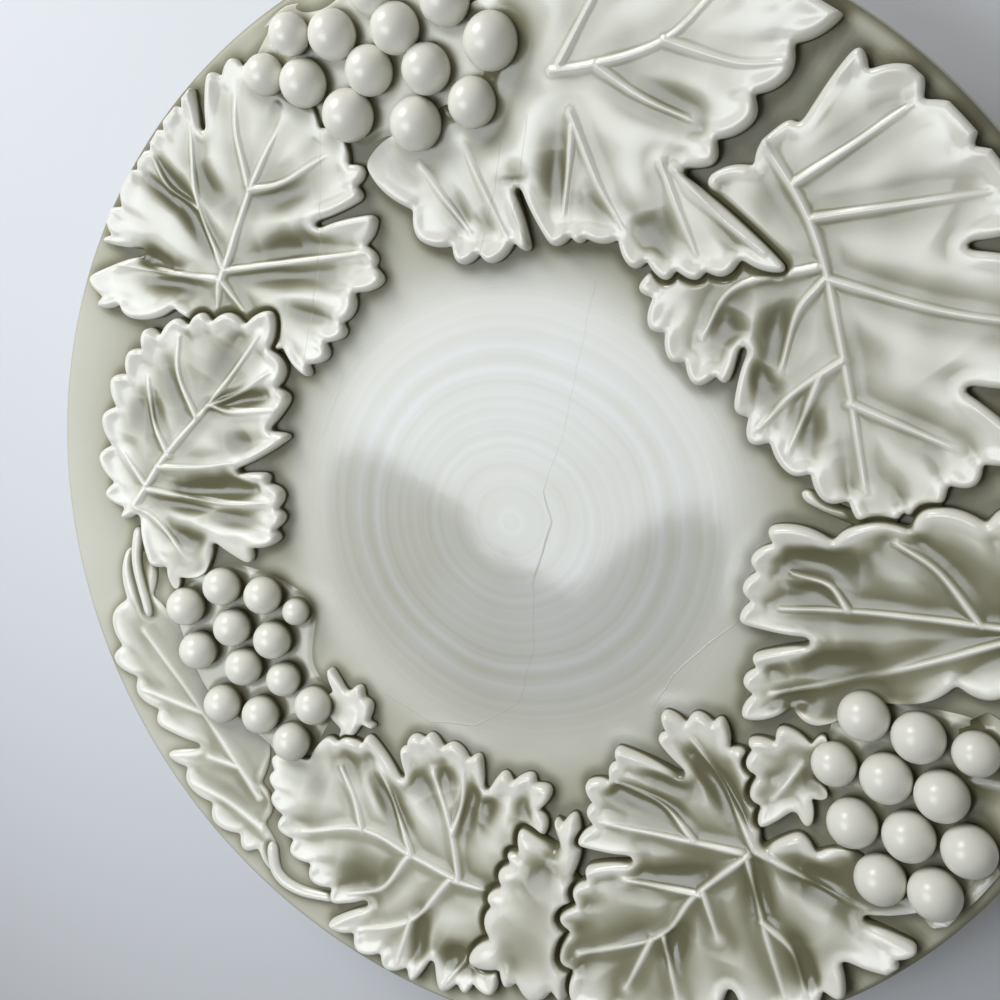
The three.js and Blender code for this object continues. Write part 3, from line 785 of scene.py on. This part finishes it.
pieces = {}
for place, name in enumerate(pile):
    covers = pile[:place]
    ring = edges[name]
    if name in leaves:
        leaf = leaves[name]

        def heightAt(points, depth, leaf=leaf, name=name, covers=covers):
            return leafRise(leaf, valleysOf[name], points, depth, covers)

        veins = [smoothRoute(vein, 0.4) for vein in leaf["veins"]]
        pieces[name] = makeSheet("fired_" + name, ring, relief["grid"], relief["bands"], heightAt, veins)
    elif name in stalks:

        def heightAt(points, depth, covers=covers):
            share = np.clip(depth / (stalkShape["width"] / 2), 0, 1)
            edge = stalkShape["edgeShare"]
            rise = stalkShape["height"] * (edge + (1 - edge) * np.sqrt(1 - (1 - share) ** 2))
            return pressUnder(rise, points, covers)

        bands = stalkShape["bands"]
        pieces[name] = makeSheet("fired_" + name, ring, stalkShape["step"], bands, heightAt)
    print("sprig", name)


# Nodes
def addSocket(tree, name, way, kind, value=None):
    socket = tree.interface.new_socket(name=name, in_out=way, socket_type=kind)
    if value is not None:
        socket.default_value = value
    return socket.identifier


def newNode(tree, kind, inputs=None, **settings):  # an input is a value, or the socket it comes from
    node = tree.nodes.new(kind)
    for key, value in settings.items():
        setattr(node, key, value)
    for key, value in (inputs or {}).items():
        if isinstance(value, bpy.types.NodeSocket):
            tree.links.new(value, node.inputs[key])
        else:
            node.inputs[key].default_value = value
    return node


def mathNode(tree, operation, first, second):
    return newNode(tree, "ShaderNodeMath", {0: first, 1: second}, operation=operation).outputs[0]


def vectorNode(tree, operation, first, second, key=1):
    outputs = newNode(tree, "ShaderNodeVectorMath", {0: first, key: second}, operation=operation).outputs
    return outputs["Value" if operation in ("DOT_PRODUCT", "DISTANCE", "LENGTH") else "Vector"]


def noiseNode(tree, where, scale, detail=2.0):
    inputs = {"Vector": where, "Scale": scale, "Detail": detail}
    return newNode(tree, "ShaderNodeTexNoise", inputs).outputs


def spanNode(tree, value, low, high, first=0.0, last=1.0):  # low to high becomes first to last
    inputs = {"Value": value, "From Min": low, "From Max": high, "To Min": first, "To Max": last}
    return newNode(tree, "ShaderNodeMapRange", inputs).outputs["Result"]


def mixNode(tree, share, first, second):
    inputs = {"Factor": share, "A": first, "B": second}
    return newNode(tree, "ShaderNodeMix", inputs, data_type="RGBA").outputs["Result"]


def objectSpot(tree):
    return newNode(tree, "ShaderNodeTexCoord").outputs["Object"]


def levelSpot(tree, where):  # the place as seen from above
    return vectorNode(tree, "MULTIPLY", where, (1, 1, 0))


def newGroup(name, takes, kind, gives, givesKind):
    tree = bpy.data.node_groups.new(name, "ShaderNodeTree")
    for socket, value in takes.items():
        addSocket(tree, socket, "INPUT", kind, value)
    addSocket(tree, gives, "OUTPUT", givesKind)
    return tree, newNode(tree, "NodeGroupInput").outputs


# Bunches: grapes as instances on points, over a soft-edged pad
grapeTree = bpy.data.node_groups.new("grapeCluster", "GeometryNodeTree")
addSocket(grapeTree, "Geometry", "INPUT", "NodeSocketGeometry")
unevenId = addSocket(grapeTree, "Unevenness", "INPUT", "NodeSocketFloat", 0.1 * mm)
seedId = addSocket(grapeTree, "Seed", "INPUT", "NodeSocketFloat", 0.0)
glazeId = addSocket(grapeTree, "Glaze", "INPUT", "NodeSocketMaterial")
addSocket(grapeTree, "Geometry", "OUTPUT", "NodeSocketGeometry")
given = newNode(grapeTree, "NodeGroupInput").outputs
ballInputs = {"Segments": grape["segments"], "Rings": grape["rings"], "Radius": 1.0}
ball = newNode(grapeTree, "GeometryNodeMeshUVSphere", ballInputs)
named = "GeometryNodeInputNamedAttribute"
size = newNode(grapeTree, named, {"Name": "grapeRadius"}, data_type="FLOAT")
turn = newNode(grapeTree, named, {"Name": "grapeTurn"}, data_type="FLOAT_VECTOR")
scatterInputs = {
    "Points": given["Geometry"],
    "Instance": ball.outputs["Mesh"],
    "Scale": size.outputs["Attribute"],
    "Rotation": turn.outputs["Attribute"],
}
scatter = newNode(grapeTree, "GeometryNodeInstanceOnPoints", scatterInputs)
real = newNode(grapeTree, "GeometryNodeRealizeInstances", {"Geometry": scatter.outputs["Instances"]})
wobbleInputs = {"W": given["Seed"], "Scale": grape["unevenScale"], "Detail": 1.0}
wobble = newNode(grapeTree, "ShaderNodeTexNoise", wobbleInputs, noise_dimensions="4D")
centred = vectorNode(grapeTree, "SUBTRACT", wobble.outputs["Color"], (0.5, 0.5, 0.5))
scaled = vectorNode(grapeTree, "SCALE", centred, given["Unevenness"], "Scale")
shapeInputs = {"Geometry": real.outputs["Geometry"], "Offset": scaled}
shape = newNode(grapeTree, "GeometryNodeSetPosition", shapeInputs)
paintInputs = {"Geometry": shape.outputs["Geometry"], "Material": given["Glaze"]}
paint = newNode(grapeTree, "GeometryNodeSetMaterial", paintInputs)
newNode(grapeTree, "NodeGroupOutput", {"Geometry": paint.outputs["Geometry"]})

grapeGlaze = bpy.data.materials.new("grapeGlaze")
leafGlaze = bpy.data.materials.new("leafGlaze")
bodyGlaze = bpy.data.materials.new("bodyGlaze")


def bunchSeats(grapes):
    seats = np.array([[g[0], g[1], (g[2] if len(g) > 2 else grape["diameter"]) / 2] for g in grapes])
    reach = np.hypot(seats[:, 0], seats[:, 1])
    rise = grape["padHeight"] / 2 + seats[:, 2] * (2 * grape["height"] / grape["diameter"] - 1)
    return np.column_stack([seats[:, :2], faceHeight(reach) + rise]), seats[:, 2]


def makeGrapes(name, bunch, seed):
    seats, radii = bunchSeats(bunch["grapes"])
    cluster = makeObject("cluster_" + name, seats, [])
    spread = np.random.default_rng(seed)
    sizes = cluster.data.attributes.new("grapeRadius", "FLOAT", "POINT")
    sizes.data.foreach_set("value", radii * mm)
    turns = cluster.data.attributes.new("grapeTurn", "FLOAT_VECTOR", "POINT")
    turns.data.foreach_set("vector", spread.uniform(0, grape["turn"], 3 * len(radii)))
    modifier = cluster.modifiers.new("grapes", "NODES")
    modifier.node_group = grapeTree
    modifier[unevenId] = grape["uneven"] * mm
    modifier[seedId] = float(seed)
    modifier[glazeId] = grapeGlaze
    bpy.context.view_layer.update()
    finished = cluster.evaluated_get(bpy.context.evaluated_depsgraph_get())
    mesh = bpy.data.meshes.new_from_object(finished)
    bpy.data.objects.remove(cluster)
    return mesh


def meshSpots(mesh):
    spots = np.zeros(len(mesh.vertices) * 3)
    mesh.vertices.foreach_get("co", spots)
    return spots.reshape(-1, 3) / mm


def joinMeshes(name, meshes):  # one object out of several closed shells
    points = []
    faces = []
    shift = 0
    for mesh in meshes:
        points.append(meshSpots(mesh))
        faces += [tuple(shift + i for i in p.vertices) for p in mesh.polygons]
        shift += len(mesh.vertices)
    return makeObject(name, np.vstack(points), faces)


for number, name in enumerate(bunches):

    def heightAt(points, depth):
        edge = grape["padEdge"]
        return grape["padHeight"] * (edge + (1 - edge) * smoothStep(0.0, grape["padMargin"], depth))

    pad = makeSheet("pad_" + name, edges[name], grape["padGrid"], grape["padBands"], heightAt)
    balls = makeGrapes(name, bunches[name], grape["seed"] + number)
    pieces[name] = joinMeshes("fired_" + name, [pad.data, balls])
    bpy.data.objects.remove(pad)
    print("bunch", name)


# How high the relief stands over the rim, on a grid
class Grid:
    step = 0.5
    half = 115.0

    def __init__(self):
        count = int(2 * self.half / self.step)
        self.field = np.zeros((count, count))

    def add(self, x, y, value):
        column = ((x + self.half) / self.step).astype(int)
        row = ((y + self.half) / self.step).astype(int)
        np.maximum.at(self.field, (row, column), value)

    def fillGaps(self):  # cells that no vertex fell in
        empty = self.field <= 0
        around = np.stack([np.roll(self.field, s, a) for s in (-1, 1) for a in (0, 1)])
        full = (around > 0).sum(0)
        mean = around.clip(0).sum(0) / np.maximum(full, 1)
        self.field = np.where(empty & (full >= 3), mean, self.field)

    def blurred(self, sigma):
        count = len(self.field)
        fy = np.fft.fftfreq(count)[:, None]
        fx = np.fft.rfftfreq(count)[None, :]
        gain = np.exp(-2 * (math.pi * sigma / self.step) ** 2 * (fx**2 + fy**2))
        return np.fft.irfft2(np.fft.rfft2(self.field) * gain, s=self.field.shape)

    def sample(self, field, x, y):
        u = np.clip((x + self.half) / self.step - 0.5, 0, len(field) - 1.001)
        v = np.clip((y + self.half) / self.step - 0.5, 0, len(field) - 1.001)
        i = u.astype(int)
        j = v.astype(int)
        u = u - i
        v = v - j
        upper = field[j, i] * (1 - u) + field[j, i + 1] * u
        lower = field[j + 1, i] * (1 - u) + field[j + 1, i + 1] * u
        return upper * (1 - v) + lower * v


pooling = {
    "highest": 4.0,
    "bunchHighest": 2.6,
    "near": 1.0,
    "wide": 4.0,
    "nearShare": 1.1,
    "wideShare": 1.0,
    "bodyWideShare": 0.4,
    "halo": 8.0,
    "haloShare": 0.6,
    "hug": 1.3,
    "hugShare": 2.4,
    "hollowShare": 0.9,
    "foot": (1.2, 6.6),
    "footShare": 4.8,
    "padPool": -0.6,
    "footHalo": 1.7,
    "grapeHalo": 4.0,
    "grapeShare": 0.55,
    "veinThin": 0.45,
    "veinThinFade": 0.4,
    "veinThinWidth": 0.65,
    "marginThin": 0.35,
    "marginReach": (0.4, 1.8),
    "covered": 0.05,
    "underside": -1,
    "limits": (-3, 4),
    # each piece's glaze colour set darker (above 0) or lighter (below 0); on the right-hand and lower
    # leaves this is partly painted shade where the light falls off
    "toneShift": {
        "leaf_right": 0.5,
        "leaf_bottom_right": 0.36,
        "leaflet_right": 0.36,
        "leaf_edge_left": 0.2,
        "leaflet_bottom": 0.2,
        "leaf_left": 0.08,
        "leaf_upper_right": 0.05,
        "leaf_top": -0.12,
        "grapes_left": 0.9,
        "grapes_top": -4.3,
        "grapes_right": -1.4,
    },
}
heights = Grid()
for name, piece in pieces.items():
    x, y, z = meshSpots(piece.data).T
    rise = z - faceHeight(np.hypot(x, y))
    top = rise > 0
    highest = pooling["bunchHighest" if name in bunches else "highest"]
    heights.add(x[top], y[top], np.minimum(rise[top], highest))
heights.fillGaps()
nearBlur = heights.blurred(pooling["near"])
wideBlur = heights.blurred(pooling["wide"])
haloBlur = heights.blurred(pooling["halo"])
hugBlur = heights.blurred(pooling["hug"])
cover = Grid()
cover.field = (heights.field > pooling["covered"]).astype(float)
slipBlur = cover.blurred(plate["slipWidth"])
print("relief grid", round(float(heights.field.max()), 2))


# Plate body: floor, rim, lip and foot ring, turned as one
def bodyProfile():
    p = plate
    sprigRadius = p["rimRadius"] - p["lipRound"]
    floorEnd = p["floorRadius"] - 1
    radii = np.arange(p["floorStep"], floorEnd, p["floorStep"])
    radii = np.concatenate([radii, np.linspace(floorEnd, sprigRadius, p["rimRows"])])
    rows = [(r, float(faceHeight(r))) for r in radii]
    topCount = len(rows)
    lipMiddle = float(faceHeight(sprigRadius)) - p["wall"] / 2
    for turn in np.linspace(80, -90, p["lipRows"]):
        angle = math.radians(turn)
        across = p["lipRound"] * math.cos(angle)
        rows.append((sprigRadius + across, lipMiddle + p["wall"] / 2 * math.sin(angle)))
    outer = p["footRadius"]
    inner = outer - p["footWidth"]
    recess = p["floorHeight"] - p["wall"]
    under = np.linspace(sprigRadius - 3, outer + p["footFlare"] + 1, p["underRows"])
    rows += [(r, float(faceHeight(r)) - p["wall"]) for r in under]
    rows += [(outer + 0.9, 1.6), (outer + 0.3, 0.35), (outer - 0.4, 0.0)]  # the foot's rounded edges
    rows += [(inner + 0.4, 0.0), (inner - 0.3, 0.35), (inner - 1.1, recess - 0.5)]
    rows += [(inner - 2.2, recess), (25.0, recess), (8.0, recess)]
    return np.array(rows), topCount


def makeBody():
    rows, topCount = bodyProfile()
    turns = plate["turns"]
    angles = np.arange(turns) / turns * 2 * math.pi
    x = (rows[:, 0, None] * np.cos(angles)).ravel()
    y = (rows[:, 0, None] * np.sin(angles)).ravel()
    z = np.repeat(rows[:, 1], turns)
    top = np.arange(len(z)) < topCount * turns
    reach = np.hypot(x, y)
    rim = plate["rimRadius"]
    fade = smoothStep(rim - plate["lipRound"], rim - plate["slipFade"], reach)
    slip = np.minimum(heights.sample(slipBlur, x, y), plate["slipMost"])
    z = z + np.where(top, slip * fade, 0)
    points = np.vstack([np.column_stack([x, y, z]), [0, 0, rows[0, 1]], [0, 0, rows[-1, 1]]])
    faces = []
    for i in range(len(rows) - 1):
        for j in range(turns):
            k = (j + 1) % turns
            faces.append((i * turns + j, (i + 1) * turns + j, (i + 1) * turns + k, i * turns + k))
    last = (len(rows) - 1) * turns
    for j in range(turns):
        k = (j + 1) % turns
        faces.append((j, k, len(points) - 2))
        faces.append((last + k, last + j, len(points) - 1))
    return makeObject("fired_plate_body", points, faces)


pieces["plate_body"] = makeBody()
print("body")


# Where glaze runs off sharp edges: along veins and leaf margins
def breakThin(name, points):
    margin = smoothStep(*pooling["marginReach"], insideDepth(points, edges[name]))
    thin = pooling["marginThin"] * (1 - margin)
    for vein in leaves[name]["veins"]:
        gap, along = routeDistance(points, smoothRoute(vein))
        share = pooling["veinThin"] * (1 - pooling["veinThinFade"] * along)
        thin = np.maximum(thin, share * np.exp(-((gap / pooling["veinThinWidth"]) ** 2)))
    return thin


def grapeNearness(points, halo):  # 1 beside a grape, 0 well away from it
    gap = np.full(len(points), 1e9)
    for bunch in bunches.values():
        for x, y, *own in bunch["grapes"]:
            radius = (own[0] if own else grape["diameter"]) / 2
            gap = np.minimum(gap, np.hypot(points[:, 0] - x, points[:, 1] - y) - radius)
    return 1 - smoothStep(0.0, halo, gap)


# Where glaze pools: low spots with higher ground around them; each piece's tone shift is added in too,
# partly painted shade
def addPool(name, piece):
    x, y, z = meshSpots(piece.data).T
    stand = z - faceHeight(np.hypot(x, y))
    rise = np.minimum(stand, pooling["highest"])
    pool = pooling["nearShare"] * (heights.sample(nearBlur, x, y) - rise)
    wideShare = pooling["bodyWideShare" if name == "plate_body" else "wideShare"]
    pool += wideShare * (heights.sample(wideBlur, x, y) - rise)
    # each piece's tone shift: partly painted shade on the right-hand and lower leaves
    pool += pooling["toneShift"].get(name, 0.0)
    points = np.column_stack([x, y])
    if name in leaves:
        pool += pooling["hollowShare"] * hollowAt(leaves[name], points) - breakThin(name, points)
        pool += pooling["grapeShare"] * grapeNearness(points, pooling["grapeHalo"])
    if name in bunches:
        pool += pooling["footShare"] * (1 - smoothStep(*pooling["foot"], stand))
        near = grapeNearness(points, pooling["footHalo"])
        pool = pooling["padPool"] + (pool - pooling["padPool"]) * near
    if name == "plate_body":
        pool += pooling["haloShare"] * heights.sample(haloBlur, x, y)
        pool += pooling["hugShare"] * heights.sample(hugBlur, x, y)
        pool = np.where(rise < pooling["underside"], 0.0, pool)
    # the glaze pool, carrying the tone shift that is partly painted shade
    field = piece.data.attributes.new("glazePoolAndShade", "FLOAT", "POINT")
    field.data.foreach_set("value", np.clip(pool, *pooling["limits"]))


for name, piece in pieces.items():
    addPool(name, piece)
print("glaze pools")


# Materials
tone = {
    "ramp": [
        (0.0, (0.84, 0.832, 0.76)),
        (0.26, (0.685, 0.68, 0.59)),
        (0.46, (0.47, 0.465, 0.37)),
        (0.64, (0.29, 0.283, 0.195)),
        (0.82, (0.205, 0.198, 0.125)),
        (1.0, (0.15, 0.144, 0.082)),
    ],
    "cloud": 70.0,
    "cloudShare": 0.45,
    "ripple": 240.0,
    "rippleDepth": 0.25,
}
glazes = {
    "leaf": {"thin": -0.6, "deep": 0.94, "ripple": 0.1, "roughness": 0.2, "index": 1.56},
    "grape": {"thin": -2.8, "deep": 5.0, "ripple": 0.05, "roughness": 0.3, "index": 1.6},
    "body": {"thin": -1.7, "deep": 3.9, "ripple": 0.05, "roughness": 0.1, "index": 1.6},
}


def glazeToneGroup():
    takes = {"Pool": 0.0, "Thin": -0.6, "Deep": 1.7}
    tree, given = newGroup("glazeTone", takes, "NodeSocketFloat", "Colour", "NodeSocketColor")
    cloud = noiseNode(tree, objectSpot(tree), tone["cloud"], 3.0)["Fac"]
    shift = mathNode(tree, "MULTIPLY", mathNode(tree, "SUBTRACT", cloud, 0.5), tone["cloudShare"])
    depth = mathNode(tree, "ADD", given["Pool"], shift)
    share = spanNode(tree, depth, given["Thin"], given["Deep"])
    ramp = newNode(tree, "ShaderNodeValToRGB", {"Fac": share})
    stops = ramp.color_ramp.elements
    for i, (spot, colour) in enumerate(tone["ramp"]):
        stop = stops[i] if i < 2 else stops.new(spot)
        stop.position = spot
        stop.color = (*colour, 1)
    newNode(tree, "NodeGroupOutput", {"Colour": ramp.outputs["Color"]})
    return tree


def glazeSurfaceGroup():
    kinds = ("NodeSocketFloat", "Normal", "NodeSocketVector")
    tree, given = newGroup("glazeSurface", {"Ripple": 0.25}, *kinds)
    ripple = noiseNode(tree, objectSpot(tree), tone["ripple"])["Fac"]
    inputs = {"Strength": given["Ripple"], "Distance": tone["rippleDepth"] * mm, "Height": ripple}
    bump = newNode(tree, "ShaderNodeBump", inputs)
    newNode(tree, "NodeGroupOutput", {"Normal": bump.outputs["Normal"]})
    return tree


def hairlineGroup():  # distance to one straight stretch of a crack
    takes = {"Place": None, "Start": None, "End": None}
    tree, given = newGroup("hairline", takes, "NodeSocketVector", "Gap", "NodeSocketFloat")
    offset = vectorNode(tree, "SUBTRACT", given["Place"], given["Start"])
    side = vectorNode(tree, "SUBTRACT", given["End"], given["Start"])
    reach = vectorNode(tree, "DOT_PRODUCT", offset, side)
    whole = vectorNode(tree, "DOT_PRODUCT", side, side)
    share = newNode(tree, "ShaderNodeClamp", {"Value": mathNode(tree, "DIVIDE", reach, whole)})
    nearest = vectorNode(tree, "SCALE", side, share.outputs["Result"], "Scale")
    gap = vectorNode(tree, "DISTANCE", offset, nearest)
    newNode(tree, "NodeGroupOutput", {"Gap": gap})
    return tree


toneGroup = glazeToneGroup()
crackGroup = hairlineGroup()
surfaceGroup = glazeSurfaceGroup()


def glazeBase(material, thin, deep, ripple, roughness, index):
    material.use_nodes = True
    tree = material.node_tree
    shader = tree.nodes["Principled BSDF"]
    shader.inputs["Roughness"].default_value = roughness
    shader.inputs["IOR"].default_value = index
    # glaze pool and the tone shift in it, partly painted shade, drive the base colour
    pool = newNode(tree, "ShaderNodeAttribute", attribute_name="glazePoolAndShade")
    inputs = {"Pool": pool.outputs["Fac"], "Thin": thin, "Deep": deep}
    colour = newNode(tree, "ShaderNodeGroup", inputs, node_tree=toneGroup)
    surface = newNode(tree, "ShaderNodeGroup", {"Ripple": ripple}, node_tree=surfaceGroup)
    tree.links.new(surface.outputs["Normal"], shader.inputs["Normal"])
    return tree, shader, colour.outputs["Colour"]


def addBump(tree, shader, height, strength, distance):  # over the bumps that the shader has
    below = shader.inputs["Normal"].links[0].from_socket
    inputs = {"Strength": strength, "Distance": distance, "Height": height, "Normal": below}
    bump = newNode(tree, "ShaderNodeBump", inputs)
    tree.links.new(bump.outputs["Normal"], shader.inputs["Normal"])


# Fine cracks in the glaze
hairlines = {
    "well": {
        "routes": [
            [
                (22, 46), (18, 34), (13, 18), (8, 7), (9.5, 1), (4.5, -12), (3.5, -26), (-1, -38),
                (-11, -44), (-22, -44), (-33, -38),
            ],
            [(45.5, -17), (36.5, -25), (32.5, -29), (28, -36)],
            [(-34, 32), (-41, 20)],
        ],
        "strength": 0.21,
        "ridge": 0.07,
    },
    "wreath": {
        "routes": [
            [(-26.8, 77.8), (-30.6, 63.7), (-35.3, 50.1), (-41, 35.4)],
            [(8.8, 71.3), (6.2, 64.2), (3.7, 59), (1.3, 53.5)],
            [(14.7, 74.4), (10.9, 63.6), (9.1, 58.9), (11.1, 53.5)],
        ],
        "strength": 0.3,
        "ridge": 0.02,
    },
    "wander": 1.4,
    "swayScale": 120.0,
    "inner": 0.05,
    "outer": 0.2,
    "colour": (0.36, 0.35, 0.28),
}


def addHairlines(tree, shader, colour, lines):  # returns the colour with its cracks
    where = objectSpot(tree)
    sway = noiseNode(tree, where, hairlines["swayScale"])["Color"]
    wander = (hairlines["wander"] * mm, hairlines["wander"] * mm, 0)
    inputs = {0: sway, 1: wander, 2: levelSpot(tree, where)}
    swayed = newNode(tree, "ShaderNodeVectorMath", inputs, operation="MULTIPLY_ADD").outputs["Vector"]
    nearest = None
    for route in lines["routes"]:
        for (ax, ay), (bx, by) in zip(route, route[1:]):
            ends = {"Place": swayed, "Start": (ax * mm, ay * mm, 0), "End": (bx * mm, by * mm, 0)}
            gap = newNode(tree, "ShaderNodeGroup", ends, node_tree=crackGroup).outputs["Gap"]
            nearest = gap if nearest is None else mathNode(tree, "MINIMUM", nearest, gap)
    inner = hairlines["inner"] * mm
    crack = spanNode(tree, nearest, inner, hairlines["outer"] * mm, lines["strength"], 0.0)
    addBump(tree, shader, crack, 1.0, lines["ridge"] * mm)
    return mixNode(tree, crack, colour, (*hairlines["colour"], 1))


def setColour(tree, shader, colour):
    tree.links.new(colour, shader.inputs["Base Color"])


tree, shader, colour = glazeBase(leafGlaze, **glazes["leaf"])
setColour(tree, shader, addHairlines(tree, shader, colour, hairlines["wreath"]))
tree, shader, colour = glazeBase(grapeGlaze, **glazes["grape"])
setColour(tree, shader, colour)

# The well: pale and glossy, with turning rings and hairlines in the glaze
well = {
    "high": (0.64, 0.655, 0.652),
    "low": (0.48, 0.478, 0.39),
    "colour": (36, 54),  # where its own colour ends and the rim's starts
    "gloss": (41, 53),
    "dull": 0.5,
    "cloud": 30.0,
    "drift": 1.2,
    "rings": 420.0,
    "ringShare": 0.9,
    "ringDepth": 0.028,
    "ringStrength": 0.25,
}
tree, shader, colour = glazeBase(bodyGlaze, **glazes["body"])
where = objectSpot(tree)
reach = vectorNode(tree, "LENGTH", levelSpot(tree, where), (0, 0, 0))
cloud = noiseNode(tree, where, well["cloud"])["Fac"]
drift = mathNode(tree, "MULTIPLY", cloud, well["drift"])
turns = mathNode(tree, "ADD", mathNode(tree, "MULTIPLY", reach, well["rings"]), drift)
ringInputs = {"W": turns, "Scale": 1.0, "Detail": 3.0}
ringNoise = newNode(tree, "ShaderNodeTexNoise", ringInputs, noise_dimensions="1D").outputs["Fac"]
addBump(tree, shader, ringNoise, well["ringStrength"], well["ringDepth"] * mm)
rings = mathNode(tree, "MULTIPLY", mathNode(tree, "SUBTRACT", ringNoise, 0.5), well["ringShare"])
wellShare = mathNode(tree, "ADD", cloud, rings)
wellColour = mixNode(tree, wellShare, (*well["low"], 1), (*well["high"], 1))
paleEnd, rimStart = well["colour"]
outward = spanNode(tree, reach, paleEnd * mm, rimStart * mm)
glossStart, glossEnd = well["gloss"]
smooth = glazes["body"]["roughness"]
soft = spanNode(tree, reach, glossStart * mm, glossEnd * mm, smooth, well["dull"])
tree.links.new(soft, shader.inputs["Roughness"])
colour = mixNode(tree, outward, wellColour, colour)
setColour(tree, shader, addHairlines(tree, shader, colour, hairlines["well"]))

for name, piece in pieces.items():
    material, slot = leafGlaze, "leaf_glaze"
    if name == "plate_body":
        material, slot = bodyGlaze, "body_glaze"
    elif name in bunches:
        material, slot = grapeGlaze, "grape_glaze"
    piece.data.materials.clear()
    piece.data.materials.append(material)
    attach(piece, "root")
    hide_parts(name)
print("materials")


# Floor, light and camera
floorShape = {"half": 3000, "colour": (0.72, 0.745, 0.79), "roughness": 0.6}
corners = [(-1, -1), (1, -1), (1, 1), (-1, 1)]
floorCorners = [(x * floorShape["half"], y * floorShape["half"], 0) for x, y in corners]
floor = makeObject("floor", floorCorners, [(0, 1, 2, 3)])
floorPaint = bpy.data.materials.new("floorPaint")
floorPaint.use_nodes = True
floorInputs = floorPaint.node_tree.nodes["Principled BSDF"].inputs
floorInputs["Base Color"].default_value = (*floorShape["colour"], 1)
floorInputs["Roughness"].default_value = floorShape["roughness"]
floor.data.materials.append(floorPaint)

panelShape = {
    "height": 300,
    "corners": [
        (-255, -5), (-212, -26), (-157, -63), (-147, -86), (-118, -98), (-96, -108), (-53, -68),
        (-25, -52), (-25, 75), (-255, 75),
    ],
    "radiance": 5.45,
    "colour": (0.94, 0.985, 1.03),
}
panel = makeObject(
    "softPanel",
    [(x, y, panelShape["height"]) for x, y in panelShape["corners"]],
    [tuple(reversed(range(len(panelShape["corners"]))))],
)
glow = bpy.data.materials.new("panelGlow")
glow.use_nodes = True
glowTree = glow.node_tree
glowTree.nodes.clear()
glowInputs = {"Color": (*panelShape["colour"], 1), "Strength": panelShape["radiance"]}
emission = newNode(glowTree, "ShaderNodeEmission", glowInputs)
newNode(glowTree, "ShaderNodeOutputMaterial", {"Surface": emission.outputs["Emission"]})
panel.data.materials.append(glow)
panel.visible_camera = False

roomLight = {"colour": (1.0, 0.985, 0.94), "strength": 0.18}
world = bpy.data.worlds.new("studio")
world.use_nodes = True
worldInputs = world.node_tree.nodes["Background"].inputs
worldInputs["Color"].default_value = (*roomLight["colour"], 1)
worldInputs["Strength"].default_value = roomLight["strength"]
scene.world = world

windowLamp = {
    "spot": (-0.22, 0.36, 0.27),
    "target": (-0.02, 0.03, 0.01),
    "side": 0.18,
    "radiance": 11.4,
    "colour": (1.0, 0.99, 0.97),
}
lamp = bpy.data.lights.new("windowLamp", "AREA")
lamp.shape = "SQUARE"
lamp.size = windowLamp["side"]
lamp.energy = windowLamp["radiance"] * math.pi * windowLamp["side"] ** 2
lamp.color = windowLamp["colour"]
holder = bpy.data.objects.new("windowLamp", lamp)
scene.collection.objects.link(holder)
holder.location = windowLamp["spot"]
aim = Vector(windowLamp["target"]) - Vector(windowLamp["spot"])
holder.rotation_euler = aim.to_track_quat("-Z", "Y").to_euler()

photoView = {
    "spot": (0.07672, 0.04118, 0.18022),
    "right": (0.91265, -0.08513, -0.39978),
    "up": (0.0, 0.97807, -0.20826),
    "sensor": 36.0,
    "lens": 34.56,
    "nearest": 0.005,
}
camera = bpy.data.cameras.new("camera")
camera.sensor_width = photoView["sensor"]
camera.lens = photoView["lens"]
camera.clip_start = photoView["nearest"]
eye = bpy.data.objects.new("camera", camera)
scene.collection.objects.link(eye)
right = Vector(photoView["right"])
up = Vector(photoView["up"])
turnMatrix = Matrix((right, up, right.cross(up))).transposed().to_4x4()
eye.matrix_world = Matrix.Translation(photoView["spot"]) @ turnMatrix
scene.camera = eye
scene.view_settings.view_transform = "Standard"
